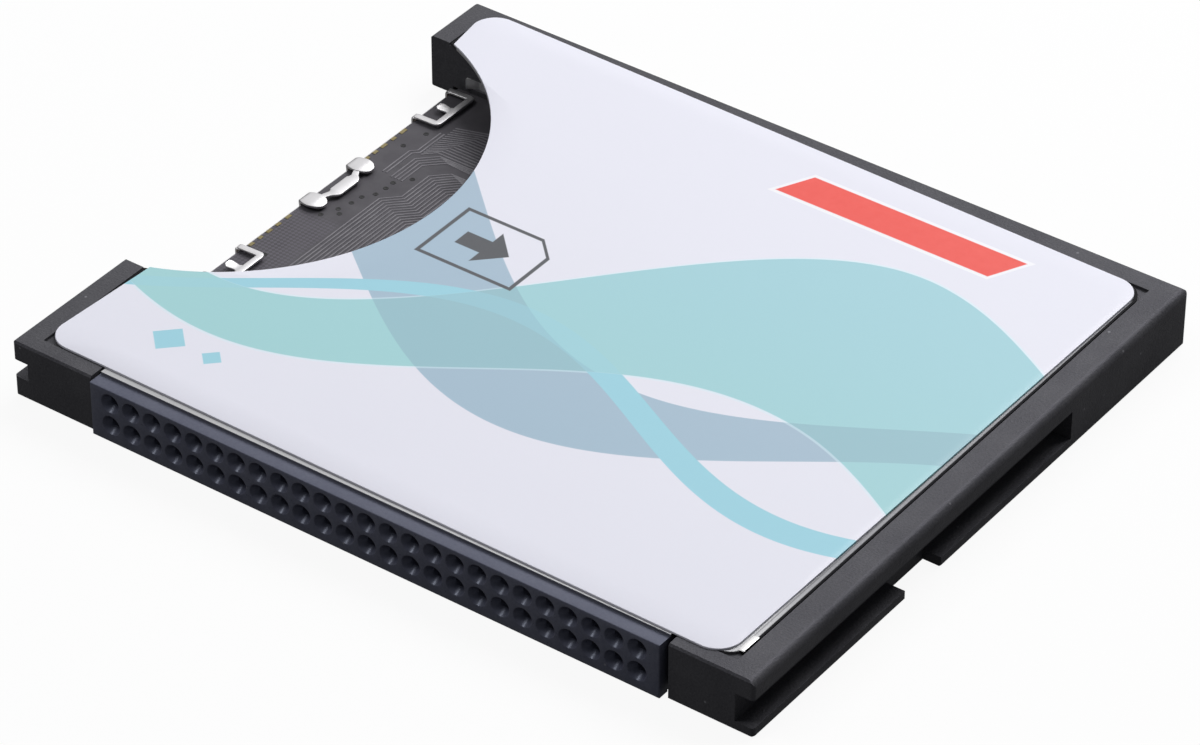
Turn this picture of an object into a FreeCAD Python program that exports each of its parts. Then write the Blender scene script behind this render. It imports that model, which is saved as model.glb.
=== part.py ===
import FreeCAD, Part
import math
import os
from types import SimpleNamespace

import Sketcher

# A thin card adapter: a frame of the large 50 way card size that takes a smaller card through its left side.
# The origin is the centre of the underside. X runs along the socket, Y from the socket to the back, Z up.

SIZES = {
    # Frame, and how far a cut runs past the face that it opens
    "frame_width": 42.8,
    "frame_depth": 36.4,
    "frame_height": 3.2,
    "corner_radius": 0.2,
    "shoulder_radius": 0.4,
    "overrun": 1.0,
    "edge_bevel": 0.1,
    "left_rim": 1.2,
    "right_rim": 1.5,
    "front_rim": 0.9,
    "back_rim": 1.15,
    "ledge": 0.4,
    # Card slot
    "card_thickness": 2.1,
    "card_height_gap": 0.1,
    "card_end_gap": 0.2,
    "slot_front_wall": 8.26,
    "back_bar": 3.84,
    "slot_rail_width": 1.06,
    "opening_radius": 0.3,
    "card_rest_width": 0.5,
    "card_rest_start": 7.0,
    "parts_bay_width": 7.5,
    # Side grooves and key notch
    "groove_length": 26.1,
    "groove_roof": 2.15,
    "left_groove_depth": 0.88,
    "left_groove_height": 0.99,
    "right_groove_depth": 1.0,
    "right_groove_height": 1.6,
    "notch_start": 12.05,
    "notch_length": 3.0,
    # Covers and label
    "cover_gauge": 0.15,
    "cover_gap": 0.05,
    "cover_corner": 1.3,
    "cover_front_reach": 0.35,
    "arc_margin": 0.85,
    "arc_centre_out": 3.3,
    "latch_width": 1.2,
    "latch_drop": 1.2,
    "latch_gap": 0.06,
    "label_thickness": 0.1,
    "label_corner": 1.3,
    "label_left_front": 1.15,
    "label_left_back": 1.2,
    "label_right_front": 2.05,
    "label_right_back": 1.72,
    "label_front_left": 0.98,
    "label_front_right": 0.68,
    "label_back_left": 0.42,
    "label_back_right": 1.25,
    # Board and film
    "film_thickness": 0.05,
    "board_thickness": 0.4,
    "board_left": 1.7,
    "board_front_gap": 0.15,
    "board_gap": 0.1,
    # Hooks of the bottom cover
    "hook_out": 0.1,
    "hook_lift": 0.05,
    "hook_reach": 1.75,
    "hook_length": 3.2,
    "hook_arm": 0.45,
    "hook_bar": 0.35,
    "hook_front_margin": 3.64,
    "hook_back_margin": 0.46,
    "lobe_width": 1.1,
    "lobe_reach": 1.5,
    "lobe_spacing": 3.8,
    "bow_length": 1.26,
    "bow_reach": 1.45,
    # Socket
    "socket_row_height": 1.65,
    "socket_row_spacing": 1.27,
    "socket_end_margin": 1.21,
    "socket_hole": 0.5,
    "socket_mouth": 1.02,
    "socket_throat": 0.78,
    "socket_mouth_depth": 0.35,
    "end_block": 4.95,
    "housing_depth": 5.0,
    "housing_proud": 0.2,
    "housing_lip": 0.45,
    "housing_left_gap": 0.1,
    "housing_right_gap": 0.35,
    "ear_width": 0.6,
    "ear_start": 1.6,
    "ear_depth": 2.4,
    "ear_gap": 0.05,
    "contact_gauge": 0.12,
    "contact_width": 0.3,
    "contact_inset": 0.9,
    "tail_width": 0.24,
    "tail_length": 1.1,
    "tail_rear_gap": 0.05,
    # Card contacts
    "pad_margin": 0.6,
    "spring_width": 0.8,
    "spring_gauge": 0.12,
    "spring_reach": 4.6,
    "spring_tip": 0.7,
    "spring_rise": 0.5,
    "spring_tail": 0.55,
    "spring_root": 0.25,
    "holder_depth": 1.5,
    "holder_margin": 1.55,
    "holder_height": 1.9,
    "holder_side_gap": 0.1,
    # Switches and retention spring
    "leaf_gauge": 0.15,
    "leaf_height": 1.2,
    "switch_pocket_setback": 12.4,
    "switch_pocket_length": 8.0,
    "switch_pocket_depth": 1.3,
    "switch_bulge": 0.35,
    "retention_start": 2.3,
    "retention_length": 7.0,
    "retention_depth": 0.35,
    "retention_base": 0.9,
    "retention_height": 0.6,
    "retention_bulge": 0.2,
    # Parts on the board
    "chip_clearance": 0.165,
    "chip_height": 0.65,
    "terminal_margin": 0.75,
    "terminal_width": 0.25,
    "terminal_length": 0.45,
    "terminal_height": 0.2,
    "regulator_width": 1.4,
    "regulator_length": 2.9,
    "regulator_height": 1.0,
    "leg_width": 0.4,
    "leg_length": 0.55,
    "leg_height": 0.15,
    "leg_pitch": 0.95,
    "crystal_width": 2.5,
    "crystal_length": 3.2,
    "crystal_base_height": 0.4,
    "crystal_lid_height": 0.3,
    "crystal_rim": 0.15,
    "chip_part_length": 1.0,
    "chip_part_width": 0.5,
    "capacitor_height": 0.5,
    "resistor_height": 0.35,
    "end_cap": 0.22,
    "small_part_step": 1.1,
}
# Counts aren't lengths, so they stay out of the sheet.
SOCKETS_PER_ROW = 25
CARD_CONTACTS = 9
TERMINALS_PER_SIDE = 8
MOUTH_SIDES = 16


class Size:
    """A length that carries its number and the sheet expression that gives it."""

    def __init__(self, number, text):
        self.number = number
        self.text = text

    def join(self, other, sign, swapped=False):
        first, second = (as_size(other), self) if swapped else (self, as_size(other))
        number = {
            "+": first.number + second.number,
            "-": first.number - second.number,
            "*": first.number * second.number,
            "/": first.number / second.number if second.number else 0.0,
        }[sign]
        return Size(number, f"({first.text} {sign} {second.text})")

    def __add__(self, other):
        return self.join(other, "+")

    def __radd__(self, other):
        return self.join(other, "+", swapped=True)

    def __sub__(self, other):
        return self.join(other, "-")

    def __rsub__(self, other):
        return self.join(other, "-", swapped=True)

    def __mul__(self, other):
        return self.join(other, "*")

    def __rmul__(self, other):
        return self.join(other, "*", swapped=True)

    def __truediv__(self, other):
        return self.join(other, "/")

    def __neg__(self):
        return self.join(-1, "*")

    def __float__(self):
        return float(self.number)


def as_size(value):
    return value if isinstance(value, Size) else Size(float(value), repr(float(value)))


document = FreeCAD.newDocument("card_adapter")
sheet = document.addObject("Spreadsheet::Sheet", "Sizes")
for row, (alias, value) in enumerate(SIZES.items(), start=1):
    sheet.set(f"A{row}", alias)
    sheet.set(f"B{row}", str(value))
    sheet.setAlias(f"B{row}", alias)
document.recompute()
s = SimpleNamespace(**{alias: Size(value, "Sizes." + alias) for alias, value in SIZES.items()})

# Planes that several pieces share, in the order in which they are met from the origin outwards
left = -(s.frame_width / 2)
right = s.frame_width / 2
front = -(s.frame_depth / 2)
back = s.frame_depth / 2
top = s.frame_height
board_floor = s.cover_gauge + s.film_thickness
board_top = board_floor + s.board_thickness
slot_roof = top - s.cover_gauge
slot_floor = slot_roof - s.card_thickness - s.card_height_gap
slot_front = front + s.slot_front_wall
slot_back = back - s.back_bar
slot_middle = (slot_front + slot_back) / 2
recess_left = left + s.left_rim
recess_right = right - s.right_rim
recess_front = front + s.front_rim
recess_back = back - s.back_rim
bay_right = recess_right - s.ledge
bay_back = recess_back - s.ledge
# The space between is that of a card 24 mm wide and 32 mm long, with its gaps.
slot_end = bay_right - s.parts_bay_width
cover_left = recess_left + s.cover_gap
cover_right = recess_right - s.cover_gap
cover_front = recess_front + s.cover_gap
cover_back = recess_back - s.cover_gap
flange_front = cover_front - s.cover_front_reach
housing_left = left + s.end_block
housing_right = right - s.end_block
housing_face = front - s.housing_proud
housing_back = front + s.housing_depth
board_front = housing_back + s.board_front_gap
first_socket = housing_left + s.socket_end_margin
socket_pitch = -2 * first_socket / (SOCKETS_PER_ROW - 1)
socket_bay_left = housing_left - s.housing_left_gap
socket_bay_right = housing_right + s.housing_right_gap
board_left = left + s.board_left
board_right = bay_right - s.board_gap
board_back = bay_back - s.board_gap
rail_front = slot_front - s.slot_rail_width
ear_front = front + s.ear_start
ear_back = ear_front + s.ear_depth
arc_x = left - s.arc_centre_out
arc_y = slot_middle
arc_radius = (slot_back - slot_front) / 2 + s.arc_margin
holder_back = slot_end + s.holder_depth
holder_front_end = slot_front + s.holder_margin
holder_back_end = slot_back - s.holder_margin
spring_heel = holder_back + s.contact_gauge
parts_left = spring_heel + s.spring_tail
parts_x = (parts_left + bay_right) / 2
bay_length = bay_back - slot_front
front_hook = slot_front + s.hook_front_margin + s.hook_length / 2
back_hook = slot_back - s.hook_back_margin - s.hook_length / 2
middle_hook = (front_hook + back_hook) / 2

# Latch tabs of the two covers: the sides on which they stand, and their middles as shares of that side
RIGHT_LATCHES = (0.058, 0.286, 0.85)
BACK_LATCHES = (0.152, 0.397, 0.876)
LOWER_RIGHT_LATCHES = (0.165, 0.907)
LOWER_BACK_LATCHES = (0.269, 0.748)

# Places of the parts in the bay beside the slot, as shares of its length from the front
REGULATOR_PLACE = 0.16
CAPACITOR_PLACE = 0.27
CHIP_PLACE = 0.48
CRYSTAL_PLACE = 0.76
RESISTOR_PLACE = 0.88


def rectangle(x_low, x_high, y_low, y_high):
    return [(x_low, y_low), (x_high, y_low), (x_high, y_high), (x_low, y_high)]


def latch_run(along):
    """The low end and the length of the side that a row of latches follows."""
    return (front, s.frame_depth) if along == "y" else (left, s.frame_width)


def round_outline(x, y, radius):
    """A round mouth as an even polygon, which keeps fifty of them light."""
    turns = [2 * math.pi * (side + 0.5) / MOUTH_SIDES for side in range(MOUTH_SIDES)]
    return [(x + radius * math.cos(turn), y + radius * math.sin(turn)) for turn in turns]


def body_plane(body, role):
    return next(part for part in body.Origin.OriginFeatures if part.Role == role)


def new_body(label):
    body = document.addObject("PartDesign::Body", label)
    body.Label = label
    return body


def new_sketch(body, name, role, offset):
    sketch = body.newObject("Sketcher::SketchObject", name)
    sketch.AttachmentSupport = [(body_plane(body, role), "")]
    sketch.MapMode = "FlatFace"
    sketch.setExpression("AttachmentOffset.Base.z", as_size(offset).text)
    return sketch


def hold(sketch, kind, first, first_end, second, second_end, size):
    size = as_size(size)
    index = sketch.addConstraint(
        Sketcher.Constraint(kind, first, first_end, second, second_end, float(size))
    )
    sketch.setExpression(f"Constraints[{index}]", size.text)


def draw_outline(sketch, corners):
    """Draw straight runs through the corners, each held by its two distances from the sketch's origin."""
    points = [FreeCAD.Vector(float(x), float(y), 0) for x, y in corners]
    first = sketch.GeometryCount
    count = len(points)
    for start, end in zip(points, points[1:] + points[:1]):
        sketch.addGeometry(Part.LineSegment(start, end))
    for index in range(count):
        following = first + (index + 1) % count
        sketch.addConstraint(Sketcher.Constraint("Coincident", first + index, 2, following, 1))
    for index, (x, y) in enumerate(corners):
        hold(sketch, "DistanceX", -1, 1, first + index, 1, x)
        hold(sketch, "DistanceY", -1, 1, first + index, 1, y)


def draw_circle(sketch, x, y, radius):
    centre = FreeCAD.Vector(float(x), float(y), 0)
    index = sketch.addGeometry(Part.Circle(centre, FreeCAD.Vector(0, 0, 1), float(radius)))
    hold(sketch, "DistanceX", -1, 1, index, 3, x)
    hold(sketch, "DistanceY", -1, 1, index, 3, y)
    constraint = sketch.addConstraint(Sketcher.Constraint("Radius", index, float(radius)))
    sketch.setExpression(f"Constraints[{constraint}]", as_size(radius).text)


def pad(body, name, low, high, *outlines, role="XY_Plane"):
    """Add material between two heights over the outlines."""
    sketch = new_sketch(body, name + "_sketch", role, low)
    for corners in outlines:
        draw_outline(sketch, corners)
    feature = body.newObject("PartDesign::Pad", name)
    feature.Profile = sketch
    feature.setExpression("Length", (as_size(high) - low).text)
    return feature


def pocket(body, name, low, high, *outlines, role="XY_Plane"):
    """Take material away between two heights over the outlines, working down from the upper one."""
    sketch = new_sketch(body, name + "_sketch", role, high)
    for corners in outlines:
        draw_outline(sketch, corners)
    feature = body.newObject("PartDesign::Pocket", name)
    feature.Profile = sketch
    feature.setExpression("Length", (as_size(high) - low).text)
    return feature


def pattern(body, name, features, role, pitch, count, refine=True):
    """Repeat features in a row along one of the body's own axes; unrefined rows are quicker to build."""
    row = body.newObject("PartDesign::LinearPattern", name)
    row.Originals = features
    row.Direction = (body_plane(body, role), [""])
    row.Occurrences = count
    row.setExpression("Length", (pitch * (count - 1)).text)
    row.Refine = refine
    body.Tip = row
    return row


def edges_where(shape, test):
    return [f"Edge{number}" for number, edge in enumerate(shape.Edges, start=1) if test(edge)]


def is_upright(edge):
    box = edge.BoundBox
    return box.XLength < 1e-6 and box.YLength < 1e-6


def is_level(edge):
    return edge.BoundBox.ZLength < 1e-6


def is_opening_corner(edge):
    """The edge under the back block that runs in from the left side."""
    box = edge.BoundBox
    level = box.ZMax < 1e-3 and box.YLength < 1e-6
    return level and abs(box.YMin - float(slot_back)) < 1e-3 and box.XMin < float(left) + 0.5


def stands_at(edge, corners):
    start = edge.Vertexes[0].Point
    near = [math.hypot(start.x - float(x), start.y - float(y)) < 1e-3 for x, y in corners]
    return is_upright(edge) and any(near)


def soften(body, name, feature, test, size, kind="Fillet"):
    """Round or bevel those edges of a feature that pass the test."""
    document.recompute()
    softened = body.newObject("PartDesign::" + kind, name)
    softened.Base = (feature, edges_where(feature.Shape, test))
    softened.setExpression({"Fillet": "Radius", "Chamfer": "Size"}[kind], size.text)
    body.Tip = softened
    return softened


def box(label, x_low, x_high, y_low, y_high, z_low, z_high):
    """A plain block between six named planes."""
    block = document.addObject("Part::Box", label)
    block.Label = label
    lows = [as_size(value) for value in (x_low, y_low, z_low)]
    highs = [as_size(value) for value in (x_high, y_high, z_high)]
    for side, low, high in zip(("Length", "Width", "Height"), lows, highs):
        block.setExpression(side, (high - low).text)
    for axis, low in zip("xyz", lows):
        block.setExpression(f"Placement.Base.{axis}", low.text)
    return block


def block_at(label, x, y, width, depth, low, high):
    """A plain block whose middle is given in plan."""
    return box(label, x - width / 2, x + width / 2, y - depth / 2, y + depth / 2, low, high)


def group(label, members):
    """Separate like solids kept together as one node."""
    compound = document.addObject("Part::Compound", label)
    compound.Label = label
    compound.Links = members
    return compound


def strip(points, gauge):
    """Outline in plan of a leaf of even gauge that follows the points, built on their right-hand side."""
    return points + [(x, y + gauge) for x, y in reversed(points)]


def latch_slots(middles, along, low_side, high_side):
    """Outlines of the frame's slots for one row of latches; along is the axis that the row follows."""
    half = s.latch_width / 2 + s.latch_gap
    start, length = latch_run(along)
    slots = []
    for middle in middles:
        centre = start + length * middle
        if along == "y":
            slots.append(rectangle(low_side, high_side, centre - half, centre + half))
        else:
            slots.append(rectangle(centre - half, centre + half, low_side, high_side))
    return slots


def latch_tabs(middles, along, low_side, high_side):
    """Outlines of the tabs themselves, one gauge thick and clear of their slots."""
    half = s.latch_width / 2
    start, length = latch_run(along)
    tabs = []
    for middle in middles:
        centre = start + length * middle
        if along == "y":
            tabs.append(rectangle(low_side, high_side, centre - half, centre + half))
        else:
            tabs.append(rectangle(centre - half, centre + half, low_side, high_side))
    return tabs


def cut_shoulder(body):
    """Round the long upper edge of the right side with a cut that runs past both ends."""
    sketch = new_sketch(body, "right_shoulder_sketch", "XZ_Plane", s.overrun - front)
    start = right - s.shoulder_radius
    low = top - s.shoulder_radius
    corners = [
        (start, top), (start, top + s.overrun), (right + s.overrun, top + s.overrun),
        (right + s.overrun, low), (right, low),
    ]
    points = [FreeCAD.Vector(float(x), float(z), 0) for x, z in corners]
    for index, (first, second) in enumerate(zip(points[:-1], points[1:])):
        sketch.addGeometry(Part.LineSegment(first, second))
        if index:
            sketch.addConstraint(Sketcher.Constraint("Coincident", index - 1, 2, index, 1))
    last = len(points) - 2
    circle = Part.Circle(
        FreeCAD.Vector(float(start), float(low), 0), FreeCAD.Vector(0, 0, 1), float(s.shoulder_radius)
    )
    arc = sketch.addGeometry(Part.ArcOfCircle(circle, 0, math.pi / 2))
    sketch.addConstraint(Sketcher.Constraint("Coincident", last, 2, arc, 1))
    sketch.addConstraint(Sketcher.Constraint("Coincident", arc, 2, 0, 1))
    for index, (x, z) in enumerate(corners[:-1]):
        hold(sketch, "DistanceX", -1, 1, index, 1, x)
        hold(sketch, "DistanceY", -1, 1, index, 1, z)
    hold(sketch, "DistanceX", -1, 1, arc, 3, start)
    hold(sketch, "DistanceY", -1, 1, arc, 3, low)
    hold(sketch, "DistanceY", -1, 1, last, 2, low)
    shoulder = body.newObject("PartDesign::Pocket", "right_shoulder")
    shoulder.Profile = sketch
    shoulder.setExpression("Length", (s.frame_depth + 2 * s.overrun).text)
    return shoulder


def make_frame():
    """The black moulding: a rounded plate opened for the socket, the card and the electronics."""
    body = new_body("frame")
    plate = pad(body, "plate", 0, top, rectangle(left, right, front, back))
    upright = soften(body, "upright_edges", plate, is_upright, s.corner_radius)
    soften(body, "rim_edges", upright, is_level, s.edge_bevel, kind="Chamfer")
    cut_shoulder(body)
    below = -s.frame_height
    pocket(
        body, "cover_seat", slot_roof, top + s.overrun,
        rectangle(recess_left, recess_right, recess_front, recess_back),
    )
    pocket(
        body, "lower_cover_seat", below, s.cover_gauge,
        rectangle(recess_left, recess_right, recess_front, recess_back),
    )
    # The board lies under the slot's rails and the back bar.
    pocket(
        body, "board_seat", below, board_top,
        rectangle(
            board_left - s.board_gap - s.hook_out - s.cover_gauge, board_right + s.board_gap,
            board_front - s.board_gap, board_back + s.board_gap,
        ),
    )
    pocket(
        body, "socket_bay", below, top + s.overrun,
        rectangle(socket_bay_left, socket_bay_right, front - s.overrun, rail_front),
    )
    pocket(
        body, "ear_seats", s.cover_gauge - s.ear_gap, top + s.overrun,
        rectangle(
            housing_left - s.ear_width - s.ear_gap, housing_right + s.ear_width + s.ear_gap,
            ear_front - s.ear_gap, ear_back + s.ear_gap,
        ),
    )
    pocket(
        body, "card_bay", below, top + s.overrun,
        rectangle(left - s.overrun, slot_end, slot_front, slot_back),
    )
    pocket(
        body, "parts_bay", below, top + s.overrun,
        rectangle(slot_end, bay_right, slot_front, bay_back),
    )
    pocket(
        body, "left_groove", s.groove_roof - s.left_groove_height, s.groove_roof,
        rectangle(left - s.overrun, left + s.left_groove_depth, front - s.overrun, front + s.groove_length),
    )
    pocket(
        body, "right_groove", s.groove_roof - s.right_groove_height, s.groove_roof,
        rectangle(
            right - s.right_groove_depth, right + s.overrun,
            front - s.overrun, front + s.groove_length,
        ),
    )
    pocket(
        body, "key_notch", below, s.groove_roof - s.right_groove_height,
        rectangle(
            right - s.right_groove_depth, right + s.overrun,
            front + s.notch_start, front + s.notch_start + s.notch_length,
        ),
    )
    # Slots in the ledges take the turned-over tabs of both covers.
    slot_right = (cover_right - s.cover_gauge - s.latch_gap, recess_right)
    slot_rear = (cover_back - s.cover_gauge - s.latch_gap, recess_back)
    depth = s.latch_drop + s.latch_gap
    pocket(
        body, "upper_latch_slots", slot_roof - depth, top + s.overrun,
        *latch_slots(RIGHT_LATCHES, "y", *slot_right),
        *latch_slots(BACK_LATCHES, "x", *slot_rear),
    )
    pocket(
        body, "lower_latch_slots", below, s.cover_gauge + depth,
        *latch_slots(LOWER_RIGHT_LATCHES, "y", *slot_right),
        *latch_slots(LOWER_BACK_LATCHES, "x", *slot_rear),
    )
    # Pockets in the back bar: the write-protect switch and the leaf that holds the card.
    switch_left = slot_end - s.switch_pocket_setback
    pocket(
        body, "switch_pocket", below, board_top + s.leaf_height + s.board_gap,
        rectangle(
            switch_left, switch_left + s.switch_pocket_length,
            slot_back - s.overrun, slot_back + s.switch_pocket_depth,
        ),
    )
    leaf_left = left + s.retention_start
    pocket(
        body, "retention_groove", s.retention_base, s.retention_base + s.retention_height,
        rectangle(
            leaf_left, leaf_left + s.retention_length,
            slot_back - s.overrun, slot_back + s.retention_depth,
        ),
    )
    # The opening's lower corner at the back is rounded where the card's edge would catch.
    cut = body.Tip
    soften(body, "opening_corner", cut, is_opening_corner, s.opening_radius)
    # Two low rests carry the inserted card clear of the board.
    rest_left = left + s.card_rest_start
    return pad(
        body, "card_rests", board_top, slot_floor,
        rectangle(rest_left, slot_end, slot_front - s.ledge, slot_front + s.card_rest_width),
        rectangle(
            rest_left, switch_left - s.board_gap,
            slot_back - s.card_rest_width, slot_back + s.ledge,
        ),
    )


def cover_outline():
    """The covers' shared outline: the recess less its gap, with a tongue forward over the socket."""
    tongue_left = housing_left + s.cover_gap
    tongue_right = housing_right + s.cover_gap
    return [
        (cover_left, cover_front),
        (tongue_left, cover_front),
        (tongue_left, flange_front),
        (tongue_right, flange_front),
        (tongue_right, cover_front),
        (cover_right, cover_front),
        (cover_right, cover_back),
        (cover_left, cover_back),
    ]


def round_cover_corners(body, feature):
    corners = rectangle(cover_left, cover_right, cover_front, cover_back)
    return soften(
        body, body.Label + "_corners", feature, lambda edge: stands_at(edge, corners), s.cover_corner
    )


def cut_thumb_arc(body, low, high):
    """Take the round bite for the thumb out of a sheet."""
    sketch = new_sketch(body, body.Label + "_arc_sketch", "XY_Plane", high)
    draw_circle(sketch, arc_x, arc_y, arc_radius)
    arc = body.newObject("PartDesign::Pocket", body.Label + "_arc")
    arc.Profile = sketch
    arc.setExpression("Length", (high - low).text)
    return arc


def make_top_cover():
    """Stamped sheet with the thumb arc, the front tongue and six tabs turned down into the frame."""
    body = new_body("top_cover")
    sheet_metal = pad(body, "upper_sheet", slot_roof, top, cover_outline())
    round_cover_corners(body, sheet_metal)
    cut_thumb_arc(body, slot_roof - s.overrun, top + s.overrun)
    return pad(
        body, "upper_tabs", slot_roof - s.latch_drop, slot_roof,
        *latch_tabs(RIGHT_LATCHES, "y", cover_right - s.cover_gauge, cover_right),
        *latch_tabs(BACK_LATCHES, "x", cover_back - s.cover_gauge, cover_back),
    )


def make_top_label():
    """Printed film on the cover, laid askew by hand so that its back corner runs onto the frame's rim."""
    corners = [
        (left + s.label_left_front, front + s.label_front_left),
        (right - s.label_right_front, front + s.label_front_right),
        (right - s.label_right_back, back - s.label_back_right),
        (left + s.label_left_back, back - s.label_back_left),
    ]
    body = new_body("top_label")
    film = pad(body, "label_film", top, top + s.label_thickness, corners)
    soften(
        body, "label_corners", film, lambda edge: stands_at(edge, corners), s.label_corner
    )
    return cut_thumb_arc(body, top - s.overrun, top + s.overrun)


def corner_hook(middle):
    """U-shaped hook in plan: two arms off the board's edge, a cross bar and a curled tongue inside."""
    root = board_left - s.hook_out - s.cover_gauge
    tip = root + s.hook_reach
    bar = tip - s.hook_bar
    low = middle - s.hook_length / 2
    high = middle + s.hook_length / 2
    inner_low = low + s.hook_arm
    inner_high = high - s.hook_arm
    curl = root + s.hook_reach / 2
    return [
        (root, low), (tip, low), (tip, high), (root, high), (root, inner_high), (bar, inner_high),
        (bar, middle + s.hook_arm), (curl, middle - s.hook_bar),
        (curl - s.hook_bar / 2, middle - 2 * s.hook_bar), (curl + s.hook_bar, middle - 2 * s.hook_bar),
        (bar, middle - s.hook_bar), (bar, inner_low), (root, inner_low),
    ]


def centre_hook():
    """The middle hook in plan: a lobe at each end and a bowed bar between them round an open window."""
    root = board_left - s.hook_out - s.cover_gauge
    middle = middle_hook
    lobe_tip = root + s.lobe_reach
    bow = root + s.bow_reach
    near = s.lobe_spacing / 2 - s.lobe_width / 2
    far = s.lobe_spacing / 2 + s.lobe_width / 2
    shoulder = root + s.lobe_reach / 2
    inner = bow - s.hook_arm
    half = s.bow_length / 2
    round_off = s.lobe_width / 4
    points = []
    for side in (-1, 1):
        run = [
            (root, middle + side * far),
            (lobe_tip - round_off, middle + side * far),
            (lobe_tip, middle + side * (far - round_off)),
            (lobe_tip, middle + side * (near + round_off)),
            (lobe_tip - round_off, middle + side * near),
            (shoulder, middle + side * (near - round_off / 2)),
            (bow - round_off, middle + side * (half + round_off)),
            (bow, middle + side * half),
        ]
        points += run if side < 0 else run[::-1]
    points += [
        (root, middle + near - round_off),
        (shoulder, middle + half + round_off / 2),
        (inner, middle + half - round_off),
        (inner, middle - half + round_off),
        (shoulder, middle - half - round_off / 2),
        (root, middle - near + round_off),
    ]
    return points


def make_bottom_cover():
    """Stamped sheet under the board, with tabs turned up into the frame and hooks over the board's edge."""
    body = new_body("bottom_cover")
    sheet_metal = pad(body, "lower_sheet", 0, s.cover_gauge, cover_outline())
    round_cover_corners(body, sheet_metal)
    pad(
        body, "lower_tabs", s.cover_gauge, s.cover_gauge + s.latch_drop,
        *latch_tabs(LOWER_RIGHT_LATCHES, "y", cover_right - s.cover_gauge, cover_right),
        *latch_tabs(LOWER_BACK_LATCHES, "x", cover_back - s.cover_gauge, cover_back),
    )
    root = board_left - s.hook_out - s.cover_gauge
    hook_base = board_top + s.hook_lift
    hook_top = hook_base + s.cover_gauge
    risers = []
    for centre in (front_hook, back_hook):
        for side in (-1, 1):
            outer = centre + side * s.hook_length / 2
            inner = outer - side * s.hook_arm
            low, high = (outer, inner) if side < 0 else (inner, outer)
            risers.append(rectangle(root, root + s.cover_gauge, low, high))
    for side in (-1, 1):
        far = middle_hook + side * (s.lobe_spacing / 2 + s.lobe_width / 2)
        near = far - side * s.lobe_width
        low, high = (far, near) if side < 0 else (near, far)
        risers.append(rectangle(root, root + s.cover_gauge, low, high))
    pad(body, "hook_risers", 0, hook_top, *risers)
    return pad(
        body, "hooks", hook_base, hook_top,
        corner_hook(front_hook), centre_hook(), corner_hook(back_hook),
    )


def make_board_and_film():
    for label, low, high in (
        ("insulating_film", s.cover_gauge, board_floor),
        ("circuit_board", board_floor, board_top),
    ):
        body = new_body(label)
        pad(
            body, label + "_sheet", low, high,
            rectangle(board_left, board_right, board_front, board_back),
        )


def make_housing():
    """Socket moulding: a block with a front lip, ears, and two rows of square passages with round mouths."""
    body = new_body("connector_housing")
    pad(
        body, "block", s.cover_gauge, slot_roof,
        rectangle(housing_left, housing_right, housing_face, housing_back),
    )
    pad(
        body, "ears", s.cover_gauge, slot_roof,
        rectangle(housing_left - s.ear_width, housing_right + s.ear_width, ear_front, ear_back),
    )
    lip = pad(
        body, "lip", 0, s.cover_gauge,
        rectangle(housing_left, housing_right, housing_face, front + s.housing_lip),
    )
    half = s.socket_hole / 2
    for name, sign in (("lower", -1), ("upper", 1)):
        height = s.socket_row_height + sign * s.socket_row_spacing / 2
        passage = pocket(
            body, name + "_passage", -housing_back - s.overrun, -housing_face,
            rectangle(first_socket - half, first_socket + half, height - half, height + half),
            role="XZ_Plane",
        )
        mouth = new_sketch(body, name + "_mouth_sketch", "XZ_Plane", -housing_face)
        draw_outline(mouth, round_outline(first_socket, height, s.socket_mouth / 2))
        throat_depth = -(housing_face + s.socket_mouth_depth)
        throat = new_sketch(body, name + "_throat_sketch", "XZ_Plane", throat_depth)
        draw_outline(throat, round_outline(first_socket, height, s.socket_throat / 2))
        funnel = body.newObject("PartDesign::SubtractiveLoft", name + "_mouth")
        funnel.Profile = mouth
        funnel.Sections = [throat]
        funnel.Ruled = True
        document.recompute()
        pattern(
            body, name + "_sockets", [passage, funnel], "X_Axis", socket_pitch, SOCKETS_PER_ROW,
            refine=name == "upper",
        )
    return body


def make_socket_contacts():
    """A row of 25 sprung leaves along each row of passages, with legs down to the board behind."""
    leaf_front = housing_face + s.contact_inset
    leg_front = housing_back + s.tail_rear_gap
    for name, sign in (("lower", -1), ("upper", 1)):
        height = s.socket_row_height + sign * s.socket_row_spacing / 2
        wall = height + sign * s.socket_hole / 2
        leaf_low, leaf_high = (wall, wall + s.contact_gauge) if sign < 0 else (wall - s.contact_gauge, wall)
        leg_back = leg_front + s.contact_gauge
        tail_x = first_socket + sign * socket_pitch / 4
        near = first_socket - sign * s.contact_width / 2
        far = first_socket + sign * s.contact_width / 2
        jog = tail_x + sign * s.tail_width / 2
        body = new_body(name + "_contacts")
        leaf = pad(
            body, name + "_leaf", leaf_low, leaf_high,
            [
                (near, leaf_front), (far, leaf_front), (far, leg_front),
                (jog, leg_front), (jog, leg_back), (near, leg_back),
            ],
        )
        leg = pad(
            body, name + "_leg", board_top, leaf_high,
            rectangle(tail_x - s.tail_width / 2, tail_x + s.tail_width / 2, leg_front, leg_back),
        )
        foot = pad(
            body, name + "_foot", board_top, board_top + s.contact_gauge,
            rectangle(
                tail_x - s.tail_width / 2, tail_x + s.tail_width / 2,
                leg_front, leg_front + s.tail_length,
            ),
        )
        pattern(body, name + "_row", [leaf, leg, foot], "X_Axis", socket_pitch, SOCKETS_PER_ROW)


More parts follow.
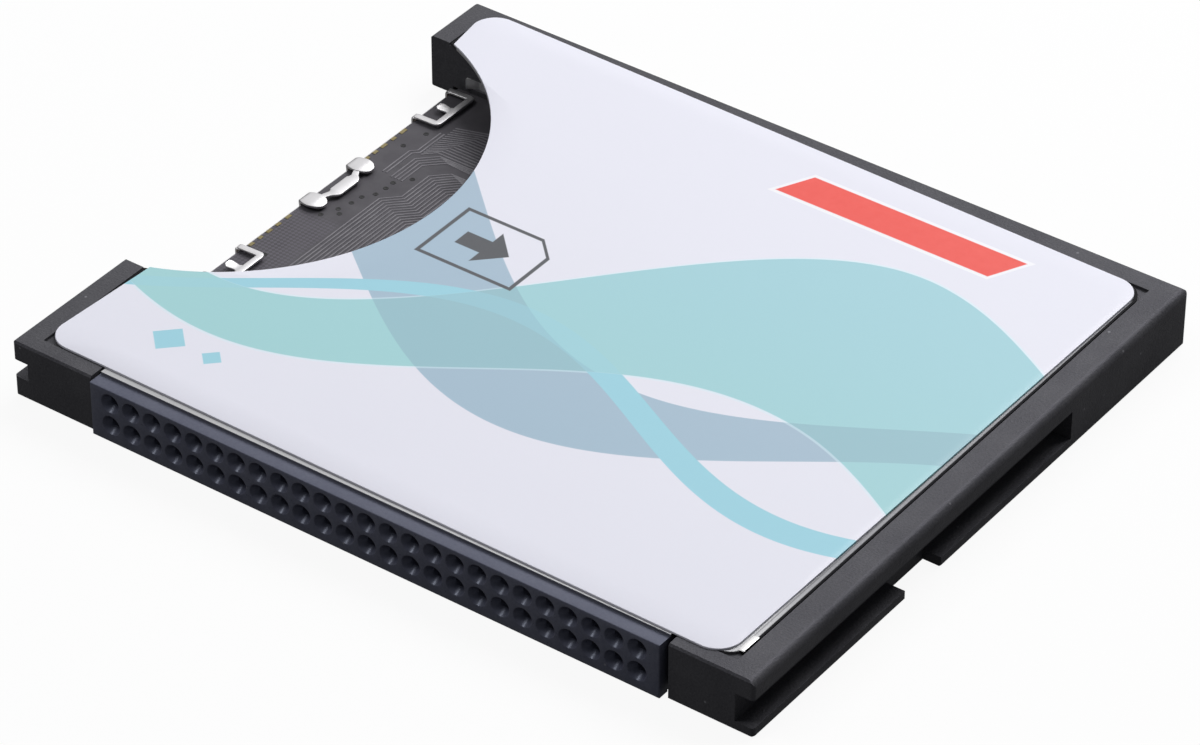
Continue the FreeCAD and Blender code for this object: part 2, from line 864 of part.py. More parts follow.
def make_card_contacts():
    """The moulding across the end of the slot and its nine sprung contacts, shaped as a side profile."""
    holder = new_body("contact_holder")
    pad(
        holder, "holder_block", board_top, board_top + s.holder_height,
        rectangle(slot_end, holder_back, holder_front_end, holder_back_end),
    )
    beam_low = board_top + s.spring_root
    beam_high = beam_low + s.spring_gauge
    first_y = holder_front_end + s.pad_margin
    pad_pitch = 2 * (slot_middle - first_y) / (CARD_CONTACTS - 1)
    channel = pocket(
        holder, "contact_channel", board_top - s.overrun, beam_high,
        rectangle(
            slot_end - s.overrun, holder_back + s.overrun,
            first_y - s.spring_width / 2, first_y + s.spring_width / 2,
        ),
    )
    pattern(holder, "contact_channels", [channel], "Y_Axis", pad_pitch, CARD_CONTACTS)

    contacts = new_body("card_contacts")
    tip = slot_end - s.spring_reach
    heel = spring_heel
    lower = [
        (tip, beam_low + s.spring_rise / 2),
        (tip + s.spring_tip, beam_low + s.spring_rise),
        (slot_end, beam_low),
        (heel, beam_low),
        (heel, board_top),
        (parts_left, board_top),
    ]
    upper = [
        (parts_left, board_top + s.spring_gauge),
        (heel + s.spring_gauge, board_top + s.spring_gauge),
        (heel + s.spring_gauge, beam_high),
        (slot_end, beam_high),
        (tip + s.spring_tip, beam_high + s.spring_rise),
        (tip, beam_high + s.spring_rise / 2),
    ]
    spring = pad(
        contacts, "card_spring", -(first_y + s.spring_width / 2), -(first_y - s.spring_width / 2),
        lower + upper, role="XZ_Plane",
    )
    pattern(contacts, "card_springs", [spring], "Y_Axis", pad_pitch, CARD_CONTACTS)


def make_leaf(label, low, high, points):
    """An upright leaf of sheet metal that follows a bent line in plan."""
    body = new_body(label)
    return pad(body, label + "_leaf", low, high, strip(points, s.leaf_gauge))


def make_switches():
    """The switches that sense a card and its write-protect notch, and the leaf that holds the card."""
    leaf_top = board_top + s.leaf_height
    pocket_left = slot_end - s.switch_pocket_setback
    pocket_right = pocket_left + s.switch_pocket_length
    root_y = slot_back + s.switch_pocket_depth / 2
    bump_y = slot_back - s.switch_bulge
    tip_y = slot_back + s.switch_pocket_depth / 4
    make_leaf(
        "write_protect_spring", board_top, leaf_top,
        [
            (pocket_left + s.leaf_gauge, tip_y),
            (pocket_left + s.switch_pocket_length / 4, bump_y),
            (pocket_right - s.leaf_height, root_y),
            (pocket_right - s.leaf_gauge, root_y),
        ],
    )
    contact_y = slot_back + s.switch_pocket_depth - s.leaf_gauge
    make_leaf(
        "write_protect_contact", board_top, leaf_top,
        [
            (pocket_left + s.leaf_gauge, contact_y),
            (pocket_left + s.switch_pocket_length / 3, contact_y),
        ],
    )
    corner_front = holder_back_end + s.holder_side_gap
    anchor = holder_back
    make_leaf(
        "card_detect_spring", board_top, leaf_top,
        [
            (slot_end - s.switch_bulge - s.card_end_gap, corner_front + 2 * s.leaf_gauge),
            (slot_end + s.leaf_gauge, corner_front),
            (anchor, corner_front),
        ],
    )
    make_leaf(
        "card_detect_contact", board_top, leaf_top,
        [
            (slot_end + s.leaf_gauge, slot_back - 2 * s.leaf_gauge),
            (anchor, slot_back - 2 * s.leaf_gauge),
        ],
    )
    groove_left = left + s.retention_start
    groove_right = groove_left + s.retention_length
    groove_floor = slot_back + s.retention_depth - s.leaf_gauge
    make_leaf(
        "retention_spring", s.retention_base, s.retention_base + s.retention_height,
        [
            (groove_left, slot_back - s.leaf_gauge),
            (groove_left + s.retention_height, groove_floor),
            (groove_left + s.retention_length / 2, slot_back - s.retention_bulge),
            (groove_right - s.retention_height, groove_floor),
            (groove_right, groove_floor),
        ],
    )


def make_controller():
    """Flat package on the board with a row of terminals along each side."""
    x = parts_x
    y = slot_front + bay_length * CHIP_PLACE
    half = (bay_right - parts_left) / 2 - s.chip_clearance
    seat = board_top + s.terminal_height
    block_at("controller_chip", x, y, 2 * half, 2 * half, seat, seat + s.chip_height)
    row_start = half - s.terminal_margin
    pitch = 2 * row_start / (TERMINALS_PER_SIDE - 1)
    terminals = []
    inset = half - s.terminal_length / 2
    for index in range(TERMINALS_PER_SIDE):
        along = pitch * index - row_start
        for side in (-1, 1):
            terminals.append(block_at(
                "terminal", x + side * inset, y + along,
                s.terminal_length, s.terminal_width, board_top, seat,
            ))
            terminals.append(block_at(
                "terminal", x + along, y + side * inset,
                s.terminal_width, s.terminal_length, board_top, seat,
            ))
    group("chip_terminals", terminals)


def make_regulator():
    """Small three-legged package: two legs on one side and one on the other."""
    x = parts_x
    y = slot_front + bay_length * REGULATOR_PLACE
    seat = board_top + s.leg_height
    block_at(
        "voltage_regulator", x, y, s.regulator_width, s.regulator_length,
        seat, seat + s.regulator_height,
    )
    reach = s.regulator_width / 2
    places = ((-1, -s.leg_pitch), (-1, s.leg_pitch), (1, as_size(0)))
    legs = [
        block_at("leg", x + side * reach, y + along, s.leg_length, s.leg_width, board_top, seat)
        for side, along in places
    ]
    group("regulator_legs", legs)


def make_crystal():
    """Clock crystal: a ceramic tray with a metal lid set in from its rim."""
    x = parts_x
    y = slot_front + bay_length * CRYSTAL_PLACE
    rim_top = board_top + s.crystal_base_height
    block_at("crystal_base", x, y, s.crystal_width, s.crystal_length, board_top, rim_top)
    block_at(
        "crystal_lid", x, y, s.crystal_width - 2 * s.crystal_rim, s.crystal_length - 2 * s.crystal_rim,
        rim_top, rim_top + s.crystal_lid_height,
    )


def make_small_parts():
    """Rows of two-ended chip parts beside the larger packages, each between a pair of metal ends."""
    row_starts = {
        "capacitor": (CAPACITOR_PLACE, s.capacitor_height),
        "resistor": (RESISTOR_PLACE, s.resistor_height),
    }
    for kind, (place, height) in row_starts.items():
        bodies = []
        ends = []
        for row in range(2):
            for column in (-1, 1):
                x = parts_x + column * s.chip_part_length
                y = slot_front + bay_length * place + row * s.small_part_step
                middle = s.chip_part_length - 2 * s.end_cap
                bodies.append(block_at(
                    kind, x, y, middle, s.chip_part_width, board_top, board_top + height,
                ))
                for side in (-1, 1):
                    cap_x = x + side * (middle + s.end_cap) / 2
                    ends.append(block_at(
                        kind + "_end", cap_x, y, s.end_cap, s.chip_part_width,
                        board_top, board_top + height,
                    ))
        group(kind + "_bodies", bodies)
        group(kind + "_ends", ends)


NODES = [
    "frame", "top_cover", "top_label", "bottom_cover", "insulating_film", "circuit_board",
    "connector_housing", "lower_contacts", "upper_contacts", "contact_holder", "card_contacts",
    "write_protect_spring", "write_protect_contact", "card_detect_spring", "card_detect_contact",
    "retention_spring", "controller_chip", "chip_terminals", "voltage_regulator", "regulator_legs",
    "crystal_base", "crystal_lid", "capacitor_bodies", "capacitor_ends", "resistor_bodies",
    "resistor_ends",
]


def check_document():
    """Stop before anything is written if a feature failed or a piece is empty or broken."""
    failed = [item.Label for item in document.Objects if {"Invalid", "Error"} & set(item.State)]
    if failed:
        raise RuntimeError("failed features: " + ", ".join(failed))
    for name in NODES:
        shape = document.getObjectsByLabel(name)[0].Shape
        if shape.isNull() or not shape.isValid() or not shape.Solids:
            raise RuntimeError("broken piece: " + name)


def write_parts():
    os.makedirs("parts", exist_ok=True)
    for name in NODES:
        piece = document.getObjectsByLabel(name)[0]
        piece.Shape.exportStep(f"parts/{name}.step")
        volume = sum(solid.Volume for solid in piece.Shape.Solids)
        print(f"{name}: {len(piece.Shape.Solids)} solids, {volume:.3f} mm3")


def main():
    make_frame()
    make_top_cover()
    make_top_label()
    make_bottom_cover()
    make_board_and_film()
    make_housing()
    make_socket_contacts()
    make_card_contacts()
    make_switches()
    make_controller()
    make_regulator()
    make_crystal()
    make_small_parts()
    document.recompute()
    check_document()
    write_parts()


main()
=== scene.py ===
import math

import bmesh
import bpy
import numpy as np
from bpy.props import FloatProperty, FloatVectorProperty, IntProperty, PointerProperty
from mathutils import Matrix, Vector


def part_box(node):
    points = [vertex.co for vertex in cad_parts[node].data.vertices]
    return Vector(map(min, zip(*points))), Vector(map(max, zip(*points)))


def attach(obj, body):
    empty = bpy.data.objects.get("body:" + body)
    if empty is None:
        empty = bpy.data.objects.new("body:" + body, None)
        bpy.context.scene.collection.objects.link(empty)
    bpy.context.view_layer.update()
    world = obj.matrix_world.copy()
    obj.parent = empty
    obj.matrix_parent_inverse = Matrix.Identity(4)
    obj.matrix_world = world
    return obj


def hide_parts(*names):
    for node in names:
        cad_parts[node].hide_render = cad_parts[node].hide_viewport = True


bl_info = {
    "name": "Card adapter",
    "version": (1, 0, 0),
    "blender": (4, 5, 0),
    "location": "View3D > Sidebar > Adapter",
    "description": "Finishes a thin card adapter: printed label, sprung contacts, socket and materials",
    "category": "Object",
}

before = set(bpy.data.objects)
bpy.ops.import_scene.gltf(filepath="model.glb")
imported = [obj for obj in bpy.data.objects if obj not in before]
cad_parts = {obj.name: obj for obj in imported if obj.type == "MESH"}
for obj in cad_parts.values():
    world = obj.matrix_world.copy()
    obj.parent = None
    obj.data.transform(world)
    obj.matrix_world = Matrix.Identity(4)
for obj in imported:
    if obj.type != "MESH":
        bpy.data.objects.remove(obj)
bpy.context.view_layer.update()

MM = 0.001
ROOT = "root"


def corners_mm(node):
    """The lowest and highest corner of a node of the frame, in millimetres."""
    low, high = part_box(node)
    return np.array(low) / MM, np.array(high) / MM


FRAME_LOW, FRAME_HIGH = corners_mm("frame")
LABEL_LOW, LABEL_HIGH = corners_mm("top_label")
BOARD_LOW, BOARD_HIGH = corners_mm("circuit_board")
COVER_LOW, COVER_HIGH = corners_mm("bottom_cover")
HOUSING_LOW, HOUSING_HIGH = corners_mm("connector_housing")
HOLDER_LOW, HOLDER_HIGH = corners_mm("contact_holder")
BOARD_TOP = BOARD_HIGH[2]
BLOCK_TOP = HOUSING_HIGH[2]

# Sizes that the solids are built from, in millimetres
GAUGE = 0.15
CORNER_RADIUS = 1.3
THUMB_ARC = (-24.7, 2.21, 13.0)
FIRST_SOCKET = -15.24
SOCKET_PITCH = 1.27
SOCKET_DEPTH = 4.2
ROW_HEIGHTS = (1.015, 2.285)
SOCKETS_PER_ROW = 25
BLOCK_HALF = -FRAME_LOW[0] - 4.95
BLOCK_ROUNDING = 0.06
LIP_DEPTH = 0.45
CONTACT_GAUGE = 0.1
HOOK_ROOT = -19.95
HOOK_FOOT = 0.08
HOOK_LENGTH = 1.75
HOOK_HALF = 1.6
FRONT_HOOK = -4.7
MIDDLE_HOOK = 3.8
BACK_HOOK = 12.3
LOBE_OFFSET = 1.9
TAB_WIDTH = 1.2

# Points of a piece that are nearer to each other than this become one, in millimetres
MERGED_BELOW = 1e-4


# Settings that a user would change


class AdapterPrint(bpy.types.PropertyGroup):
    """Colours of the printed label."""

    ground: FloatVectorProperty(
        name="Ground", description="Pale ground of the label", subtype="COLOR",
        default=(0.735, 0.735, 0.815),
    )
    teal: FloatVectorProperty(
        name="Teal", description="Wide pale teal sweep", subtype="COLOR",
        default=(0.325, 0.595, 0.615),
    )
    steel_blue: FloatVectorProperty(
        name="Steel blue", description="Sweep that crosses the teal one", subtype="COLOR",
        default=(0.335, 0.465, 0.57),
    )
    cyan: FloatVectorProperty(
        name="Cyan", description="Thin ribbon between the sweeps", subtype="COLOR",
        default=(0.3, 0.59, 0.69),
    )
    red: FloatVectorProperty(
        name="Red", description="Plain stripe near the back", subtype="COLOR",
        default=(0.8, 0.055, 0.036),
    )
    ink: FloatVectorProperty(
        name="Ink", description="Grey of the card sign", subtype="COLOR",
        default=(0.066, 0.07, 0.08),
    )
    sweep_width: FloatProperty(
        name="Sweep width", description="Half width of the teal sweep at its widest", unit="LENGTH",
        default=0.0066, min=0.001,
    )


class AdapterMetal(bpy.types.PropertyGroup):
    """Sheet metal pieces."""

    board_lift: FloatProperty(
        name="Hook lift", description="How far the hooks stand above the board", unit="LENGTH",
        default=0.0001, min=0.0,
    )
    hook_band: FloatProperty(
        name="Hook band", description="Width of the hooks' bands", unit="LENGTH",
        default=0.00037, min=0.0001,
    )
    steel: FloatVectorProperty(
        name="Steel", description="Colour of the covers", subtype="COLOR",
        default=(0.42, 0.42, 0.43),
    )
    gold: FloatVectorProperty(
        name="Gold", description="Colour of the plated contacts", subtype="COLOR",
        default=(0.83, 0.6, 0.27),
    )


class AdapterSocket(bpy.types.PropertyGroup):
    """Socket moulding."""

    mouth: FloatProperty(
        name="Mouth", description="Diameter of a socket's mouth", unit="LENGTH",
        default=0.00104, min=0.0005, max=0.0012,
    )
    throat: FloatProperty(
        name="Throat", description="Diameter where the funnel ends", unit="LENGTH",
        default=0.00058, min=0.0003,
    )
    funnel: FloatProperty(
        name="Funnel", description="Depth of the funnel", unit="LENGTH", default=0.00036, min=0.0001,
    )
    sides: IntProperty(name="Sides", description="Points round a mouth", default=40, min=12)
    plastic: FloatVectorProperty(
        name="Plastic", description="Colour of the socket moulding", subtype="COLOR",
        default=(0.035, 0.04, 0.082),
    )


class AdapterBoard(bpy.types.PropertyGroup):
    """Tracks on the board."""

    track_pitch: FloatProperty(
        name="Track pitch", description="Distance between tracks", unit="LENGTH",
        default=0.00022, min=0.0001,
    )
    track_width: FloatProperty(
        name="Track width", description="Width of a track", unit="LENGTH",
        default=0.00012, min=0.00005,
    )
    mask: FloatVectorProperty(
        name="Mask", description="Colour of the solder mask", subtype="COLOR",
        default=(0.046, 0.0428, 0.051),
    )


class AdapterStage(bpy.types.PropertyGroup):
    """Camera, floor and lights."""

    lens: FloatProperty(
        name="Lens", description="Focal length on a 36 mm wide sensor, in millimetres",
        default=168.518, min=20.0,
    )
    key_power: FloatProperty(
        name="Key power", description="Power of the light above and behind the adapter, in watts",
        default=0.76, min=0.0,
    )
    sheen_power: FloatProperty(
        name="Sheen power", description="Power of the wide light that the top faces mirror, in watts",
        default=1.9, min=0.0,
    )
    fill_power: FloatProperty(
        name="Fill power", description="Power of the small light over the front left, in watts",
        default=0.6, min=0.0,
    )
    world: FloatProperty(
        name="Sky", description="Strength of the even light from all round", default=0.15, min=0.0,
    )


SETTINGS = {
    "adapter_print": AdapterPrint,
    "adapter_metal": AdapterMetal,
    "adapter_socket": AdapterSocket,
    "adapter_board": AdapterBoard,
    "adapter_stage": AdapterStage,
}


# Shader formulas


class Term:
    """A shader socket that takes part in a formula: + - and * add the Math nodes that they stand for."""

    def __init__(self, graph, socket):
        self.graph = graph
        self.socket = socket

    def __add__(self, other):
        return self.graph.maths("ADD", self, other)

    def __radd__(self, other):
        return self.graph.maths("ADD", other, self)

    def __sub__(self, other):
        return self.graph.maths("SUBTRACT", self, other)

    def __rsub__(self, other):
        return self.graph.maths("SUBTRACT", other, self)

    def __mul__(self, other):
        return self.graph.maths("MULTIPLY", self, other)

    def __rmul__(self, other):
        return self.graph.maths("MULTIPLY", other, self)


class Graph:
    """The nodes of a new material or world."""

    def __init__(self, owner):
        owner.use_nodes = True
        self.owner = owner
        self.tree = owner.node_tree
        self.tree.nodes.clear()

    def make(self, kind, settings=None, inputs=None, output=0):
        """Add a node, set what it is first and then its inputs; give back one output, or the node itself."""
        node = self.tree.nodes.new(kind)
        for name, value in (settings or {}).items():
            setattr(node, name, value)
        for name, value in (inputs or {}).items():
            if isinstance(value, Term):
                self.tree.links.new(value.socket, node.inputs[name])
            else:
                node.inputs[name].default_value = value
        return node if output is None else Term(self, node.outputs[output])

    def maths(self, operation, first, second=0.0):
        return self.make("ShaderNodeMath", {"operation": operation}, {0: first, 1: second})

    def high(self, first, second):
        return self.maths("MAXIMUM", first, second)

    def mix_shaders(self, factor, first, second):
        return self.make("ShaderNodeMixShader", {}, {0: factor, 1: first, 2: second})

    def finish(self, shader, output="ShaderNodeOutputMaterial"):
        """Lead a shader to the output, and give back the material or world."""
        self.make(output, {}, {"Surface": shader}, output=None)
        return self.owner


class Recipe(Graph):
    """One procedural material, written as formulas on Object coordinates in millimetres."""

    def __init__(self, name):
        super().__init__(bpy.data.materials.new(name))
        self.point = self.make(
            "ShaderNodeVectorMath", {"operation": "SCALE"},
            {"Vector": self.make("ShaderNodeTexCoord", output="Object"), "Scale": 1.0 / MM},
        )
        split = self.make("ShaderNodeSeparateXYZ", {}, {"Vector": self.point}, output=None)
        self.x, self.y, self.z = (Term(self, split.outputs[axis]) for axis in "XYZ")

    def low(self, first, second):
        return self.maths("MINIMUM", first, second)

    def size(self, value):
        return self.maths("ABSOLUTE", value)

    def sine(self, value):
        return self.maths("SINE", value)

    def root(self, value):
        return self.maths("SQRT", value)

    def remap(self, value, low, high, to_low=0.0, to_high=1.0):
        """Carry a value from one range to another along a smooth step."""
        return self.make(
            "ShaderNodeMapRange", {"interpolation_type": "SMOOTHSTEP"},
            {"Value": value, "From Min": low, "From Max": high, "To Min": to_low, "To Max": to_high},
        )

    def inside(self, distance, softness=0.035):
        """1 where a signed distance in millimetres is below zero, with a soft printed edge."""
        return self.remap(distance, -softness, softness, 1.0, 0.0)

    def stretched(self, x, y, z):
        """The point with its axes scaled, for grain that runs one way."""
        return self.make(
            "ShaderNodeVectorMath", {"operation": "MULTIPLY"}, {0: self.point, 1: (x, y, z)}
        )

    def noise(self, scale, detail=3.0, roughness=0.5, vector=None):
        """Cloudy noise from 0 to 1, at a scale in cells per millimetre."""
        return self.make(
            "ShaderNodeTexNoise", {},
            {
                "Vector": vector or self.point, "Scale": scale, "Detail": detail,
                "Roughness": roughness,
            },
        )

    def cells(self, scale):
        """Distance to the nearest of scattered points, in shares of a cell."""
        return self.make("ShaderNodeTexVoronoi", {}, {"Vector": self.point, "Scale": scale})

    def blend(self, factor, first, second):
        """Mix two colours: the first where the factor is 0, the second where it is 1."""
        first, second = (
            value if isinstance(value, Term) else (*value[:3], 1.0) for value in (first, second)
        )
        return self.make(
            "ShaderNodeMix", {"data_type": "RGBA"}, {0: factor, 6: first, 7: second}, output=2
        )

    def shade(self, factor, amount, colour):
        """Darken and lighten a colour around itself by a share of it, along a factor from 0 to 1."""
        dark = self.blend(amount, colour, (0.0, 0.0, 0.0))
        light = self.blend(amount * 0.5, colour, (1.0, 1.0, 1.0))
        return self.blend(factor, dark, light)

    def bump(self, height, distance_mm):
        return self.make("ShaderNodeBump", {}, {"Height": height, "Distance": distance_mm * MM})

    def surface(self, fixed, **varying):
        """Principled shader: fixed numbers go on its own sockets, and what varies is linked."""
        linked = {name.replace("_", " ").title(): term for name, term in varying.items()}
        return self.finish(self.make("ShaderNodeBsdfPrincipled", {}, {**fixed, **linked}))


def moulded_plastic(
    name, colour, grain=9.0, depth=0.006, roughness=0.46, gloss=0.5, tint=(1, 1, 1), dull_above=None,
):
    """Moulded plastic: fine spark-eroded grain, faint flow marks and a few pale dust specks.

    A surface above the height dull_above, in millimetres, is rubbed duller.
    """
    r = Recipe(name)
    fine = r.noise(grain, 4.0, 0.6)
    broad = r.noise(0.35, 2.0)
    flow = r.noise(1.2, 2.0, 0.5, r.stretched(0.2, 1.0, 1.0))
    speck = r.remap(r.cells(0.7), 0.03, 0.06, 1.0, 0.0)
    shaded = r.shade(fine * 0.6 + broad * 0.4, 0.22, colour)
    dusted = r.blend(speck * 0.5, shaded, (0.3, 0.3, 0.32))
    rough = roughness - 0.12 + 0.22 * fine + 0.05 * flow
    if dull_above is not None:
        rough = rough + 0.24 * r.inside(dull_above - r.z)
    height = fine + 0.4 * r.noise(grain * 2.7, 2.0)
    return r.surface(
        {"Specular IOR Level": gloss, "Specular Tint": (*tint, 1.0)},
        base_color=dusted, roughness=rough, normal=r.bump(height, depth),
    )


def rolled_steel(name, colour, along="x", roughness=0.28, wear=0.3, shaded_edges=None):
    """Rolled stainless sheet: hair lines along one way, cloudy tarnish and a few handling marks.

    shaded_edges is the left, right and back edge of a sheet that is let into a frame: painted shade darkens
    a strip near the right one, more towards the back, with a painted shadow line along it, and a painted
    black shadow lies along all three where the sheet goes down beside the frame.
    """
    r = Recipe(name)
    across = (0.35, 7.0, 7.0) if along == "x" else (7.0, 0.35, 7.0)
    hair = r.noise(1.0, 3.0, 0.6, r.stretched(*across))
    cloud = r.noise(0.55, 3.0)
    mark = r.remap(r.noise(2.2, 4.0, 0.7), 0.6, 0.72)
    toned = r.shade(hair * 0.6 + cloud * 0.4, 0.14, colour)
    worn_and_shaded = r.blend(mark * wear, toned, (0.3, 0.29, 0.28))
    if shaded_edges is not None:
        left, right, back = (float(edge) for edge in shaded_edges)
        # Painted shade: a darker strip by the right edge, darker towards the back, a thin painted shadow
        # line along it, and painted black shadow beside the left, right and back edges where the sheet goes
        # down beside the frame
        strip = r.inside(right - 0.75 - r.x, 0.05) * r.remap(r.y, -16.8, -9.0, 0.2, 0.85)
        worn_and_shaded = r.blend(strip, worn_and_shaded, (0.15, 0.15, 0.16))
        shadow_line = r.inside(r.size(r.x - (right - 0.33)) - 0.03, 0.03)
        worn_and_shaded = r.blend(shadow_line * 0.55, worn_and_shaded, (0.05, 0.05, 0.055))
        gap = r.high(r.inside(r.x - left - 0.5, 0.06), r.inside(right - 0.13 - r.x, 0.03))
        gap = r.high(gap, r.inside(back - 1.3 - r.y, 0.2))
        worn_and_shaded = r.blend(gap, worn_and_shaded, (0.004, 0.004, 0.005))
    rough = roughness - 0.05 + 0.1 * hair + 0.1 * mark
    return r.surface(
        {"Metallic": 1.0}, base_color=worn_and_shaded, roughness=rough, normal=r.bump(hair, 0.0006),
    )


def plated_metal(name, colour, roughness=0.2):
    """Thin plating: small pits, and a tone that drifts a little with its thickness."""
    r = Recipe(name)
    drift = r.noise(1.4, 3.0)
    pits = r.noise(14.0, 2.0)
    return r.surface(
        {"Metallic": 1.0}, base_color=r.shade(drift, 0.18, colour),
        roughness=roughness - 0.05 + 0.12 * pits, normal=r.bump(pits, 0.002),
    )


def fired_ceramic(name, colour, roughness=0.5):
    """Fired ceramic: fine grains of two tones under a dull skin."""
    r = Recipe(name)
    grain = r.cells(9.0)
    tone = r.noise(3.0, 3.0)
    shaded = r.shade(grain * 0.6 + tone * 0.4, 0.3, colour)
    return r.surface(
        {"Specular IOR Level": 0.5}, base_color=shaded, roughness=roughness + 0.12 * tone,
        normal=r.bump(grain, 0.004),
    )


def amber_film(name, colour):
    """Insulating film: glossy amber sheet with faint rolling streaks."""
    r = Recipe(name)
    streak = r.noise(1.0, 3.0, 0.5, r.stretched(0.3, 5.0, 1.0))
    return r.surface(
        {"Coat Weight": 0.3, "Coat Roughness": 0.15},
        base_color=r.shade(streak, 0.25, colour), roughness=0.2 + 0.12 * streak,
        normal=r.bump(streak, 0.002),
    )


def chip_resin(name, colour):
    """Moulded resin of a package: matte skin, satin speckle and a round pin mark at one corner.

    The mark is where the root of the squared distances along x and y stays below its radius.
    """
    r = Recipe(name)
    speckle = r.noise(11.0, 3.0, 0.7)
    mark_x, mark_y = (float(edge + 0.7) for edge in corners_mm("controller_chip")[0][:2])
    along_x = r.x - mark_x
    along_y = r.y - mark_y
    dot = r.inside(r.root(along_x * along_x + along_y * along_y) - 0.25)
    shaded = r.blend(dot * 0.5, r.shade(speckle, 0.3, colour), (0.09, 0.09, 0.09))
    return r.surface(
        {"Specular IOR Level": 0.4}, base_color=shaded, roughness=0.5 + 0.2 * speckle - 0.2 * dot,
        normal=r.bump(speckle - 0.6 * dot, 0.004),
    )


def scaled(colour, *factors):
    """A colour with each channel multiplied by its own factor, and no channel above 1."""
    return tuple(min(1.0, channel * factor) for channel, factor in zip(colour, factors))


def board_mask(name, colour):
    """Solder mask on woven laminate: glass cloth shows faintly, and the cut edge is bare fibre."""
    r = Recipe(name)
    # Hatched copper: the product of two sines along the diagonals, only left of and before the tracks
    hatched = r.inside(r.x + 17.1, 0.2) * r.inside(r.y - 1.2, 0.4)
    weave = r.remap(r.sine((r.x + r.y) * 14.0) * r.sine((r.x - r.y) * 14.0), -0.15, 0.2) * hatched
    cloud = r.noise(0.8, 3.0)
    skin = r.blend(weave, r.shade(cloud, 0.1, colour), scaled(colour, 2.1, 2.1, 2.1))
    board_edge = r.inside(r.z - float(BOARD_TOP - 0.03), 0.01)
    fibre = r.shade(r.noise(1.0, 3.0, 0.6, r.stretched(0.5, 0.5, 20.0)), 0.4, (0.16, 0.13, 0.06))
    toned = r.blend(board_edge, skin, fibre)
    return r.surface(
        {"Specular IOR Level": 0.26, "Specular Tint": (0.95, 0.9, 1.0, 1.0)}, base_color=toned,
        roughness=0.48 + 0.03 * cloud + 0.3 * board_edge, normal=r.bump(weave, 0.004),
    )


def printed_film(name, inks):
    """The label: sweeps of colour, a plain stripe and a card sign, screen printed on pale film."""
    r = Recipe(name)

    def sweep(level, swing, pitch, phase, tilt, half_width):
        """Signed distance to a band about the wave level + swing * sin(pitch * x + phase) + tilt * x."""
        wave = swing * r.sine(r.x * pitch + phase) + tilt * r.x
        return r.size(r.y - wave - level) - half_width

    def slab(x, y, half_x, half_y, slant=0.0):
        """Signed distance to an upright or slanted rectangle."""
        dx = r.size(r.x - x - slant * (r.y - y)) - half_x
        dy = r.size(r.y - y) - half_y
        return r.high(dx, dy)

    def diamond(x, y, reach):
        """Signed distance to a square on its corner: the distances along x and y, added, less its reach."""
        return r.size(r.x - x) + r.size(r.y - y) - reach

    growth = r.remap(r.x, -20.0, 12.0, 0.25, 1.0)
    ebb = r.remap(r.x, -17.0, 19.0, 1.0, 0.3)
    teal_edge = sweep(-2.4, 5.6, 0.135, 0.35, 0.16, inks.sweep_width / MM * growth)
    teal = r.inside(teal_edge)
    blue = r.inside(sweep(-0.4, 6.4, 0.118, -1.75, -0.1, 4.9 * ebb))
    thin = r.inside(sweep(-6.2, 4.2, 0.15, 2.2, 0.1, 0.35 + 0.45 * growth))
    ground = r.shade(r.noise(0.12, 2.0), 0.015, inks.ground)
    fade = r.remap(r.y, -14.0, 12.0)
    teal_tone = r.blend(fade, inks.teal, scaled(inks.teal, 1.02, 0.97, 1.04))
    blue_tone = r.blend(fade, inks.steel_blue, scaled(inks.steel_blue, 1.08, 1.0, 1.0))
    both = r.blend(0.5, inks.teal, scaled(inks.steel_blue, 0.7, 0.78, 0.82))
    art = r.blend(blue, ground, blue_tone)
    art = r.blend(teal, art, teal_tone)
    art = r.blend(teal * blue, art, both)
    # The inks miss each other a little, so the teal has a thin pale rim
    rim = r.inside(r.size(teal_edge - 0.06) - 0.07)
    art = r.blend(rim * 0.45, art, (0.62, 0.8, 0.86))
    art = r.blend(thin * (1.0 - teal * 0.6), art, inks.cyan)
    # Plain stripe with a pale rim
    stripe_edge = slab(7.4, 14.3, 6.2, 1.0, 0.5)
    art = r.blend(r.inside(stripe_edge - 0.22), art, (0.82, 0.82, 0.86))
    stripe = r.inside(stripe_edge)
    art = r.blend(stripe, art, r.shade(r.noise(2.0, 2.0), 0.05, inks.red))
    # Card sign: an outline with one corner cut off, and an arrow that points along the slot
    sign_x, sign_y = -7.6, 1.0
    right, up = r.x - sign_x, r.y - sign_y
    card = r.high(slab(sign_x, sign_y, 2.9, 2.2), right + up - 3.9)
    outline = r.inside(card) * (1.0 - r.inside(card + 0.22))
    shaft = slab(sign_x - 0.9, sign_y, 0.8, 0.55)
    head = r.high(r.size(up) + right - 1.2, sign_x - 0.2 - r.x)
    sign = r.high(outline, r.inside(r.low(shaft, head)))
    art = r.blend(sign, art, inks.ink)
    diamonds = r.inside(r.low(diamond(-15.4, -13.8, 1.0), diamond(-12.8, -13.8, 0.6)))
    art = r.blend(diamonds, art, inks.cyan)
    mottle = r.noise(5.0, 4.0, 0.65)
    art = r.blend(mottle * 0.03, art, (0.5, 0.52, 0.56))
    specks = r.remap(r.cells(0.22), 0.012, 0.02, 1.0, 0.0)
    art = r.blend(specks * 0.35, art, (0.3, 0.3, 0.32))
    ripple = r.noise(0.16, 2.0) + 0.25 * r.noise(1.1, 2.0)
    ink_layer = r.high(r.high(teal, blue), r.high(stripe, sign))
    return r.surface(
        {"Specular IOR Level": 0.35, "Coat Weight": 0.12, "Coat Roughness": 0.3},
        base_color=art, roughness=0.42 + 0.08 * mottle - 0.04 * ink_layer,
        normal=r.bump(ripple * 4.0 + 0.3 * mottle + 0.3 * ink_layer, 0.004),
    )


# Meshes


def join_parts(parts):
    """Gather several lists of points and faces into one."""
    points = []
    faces = []
    start = 0
    for part_points, part_faces in parts:
        points.append(part_points)
        faces += [[index + start for index in face] for face in part_faces]
        start += len(part_points)
    return np.concatenate(points), faces


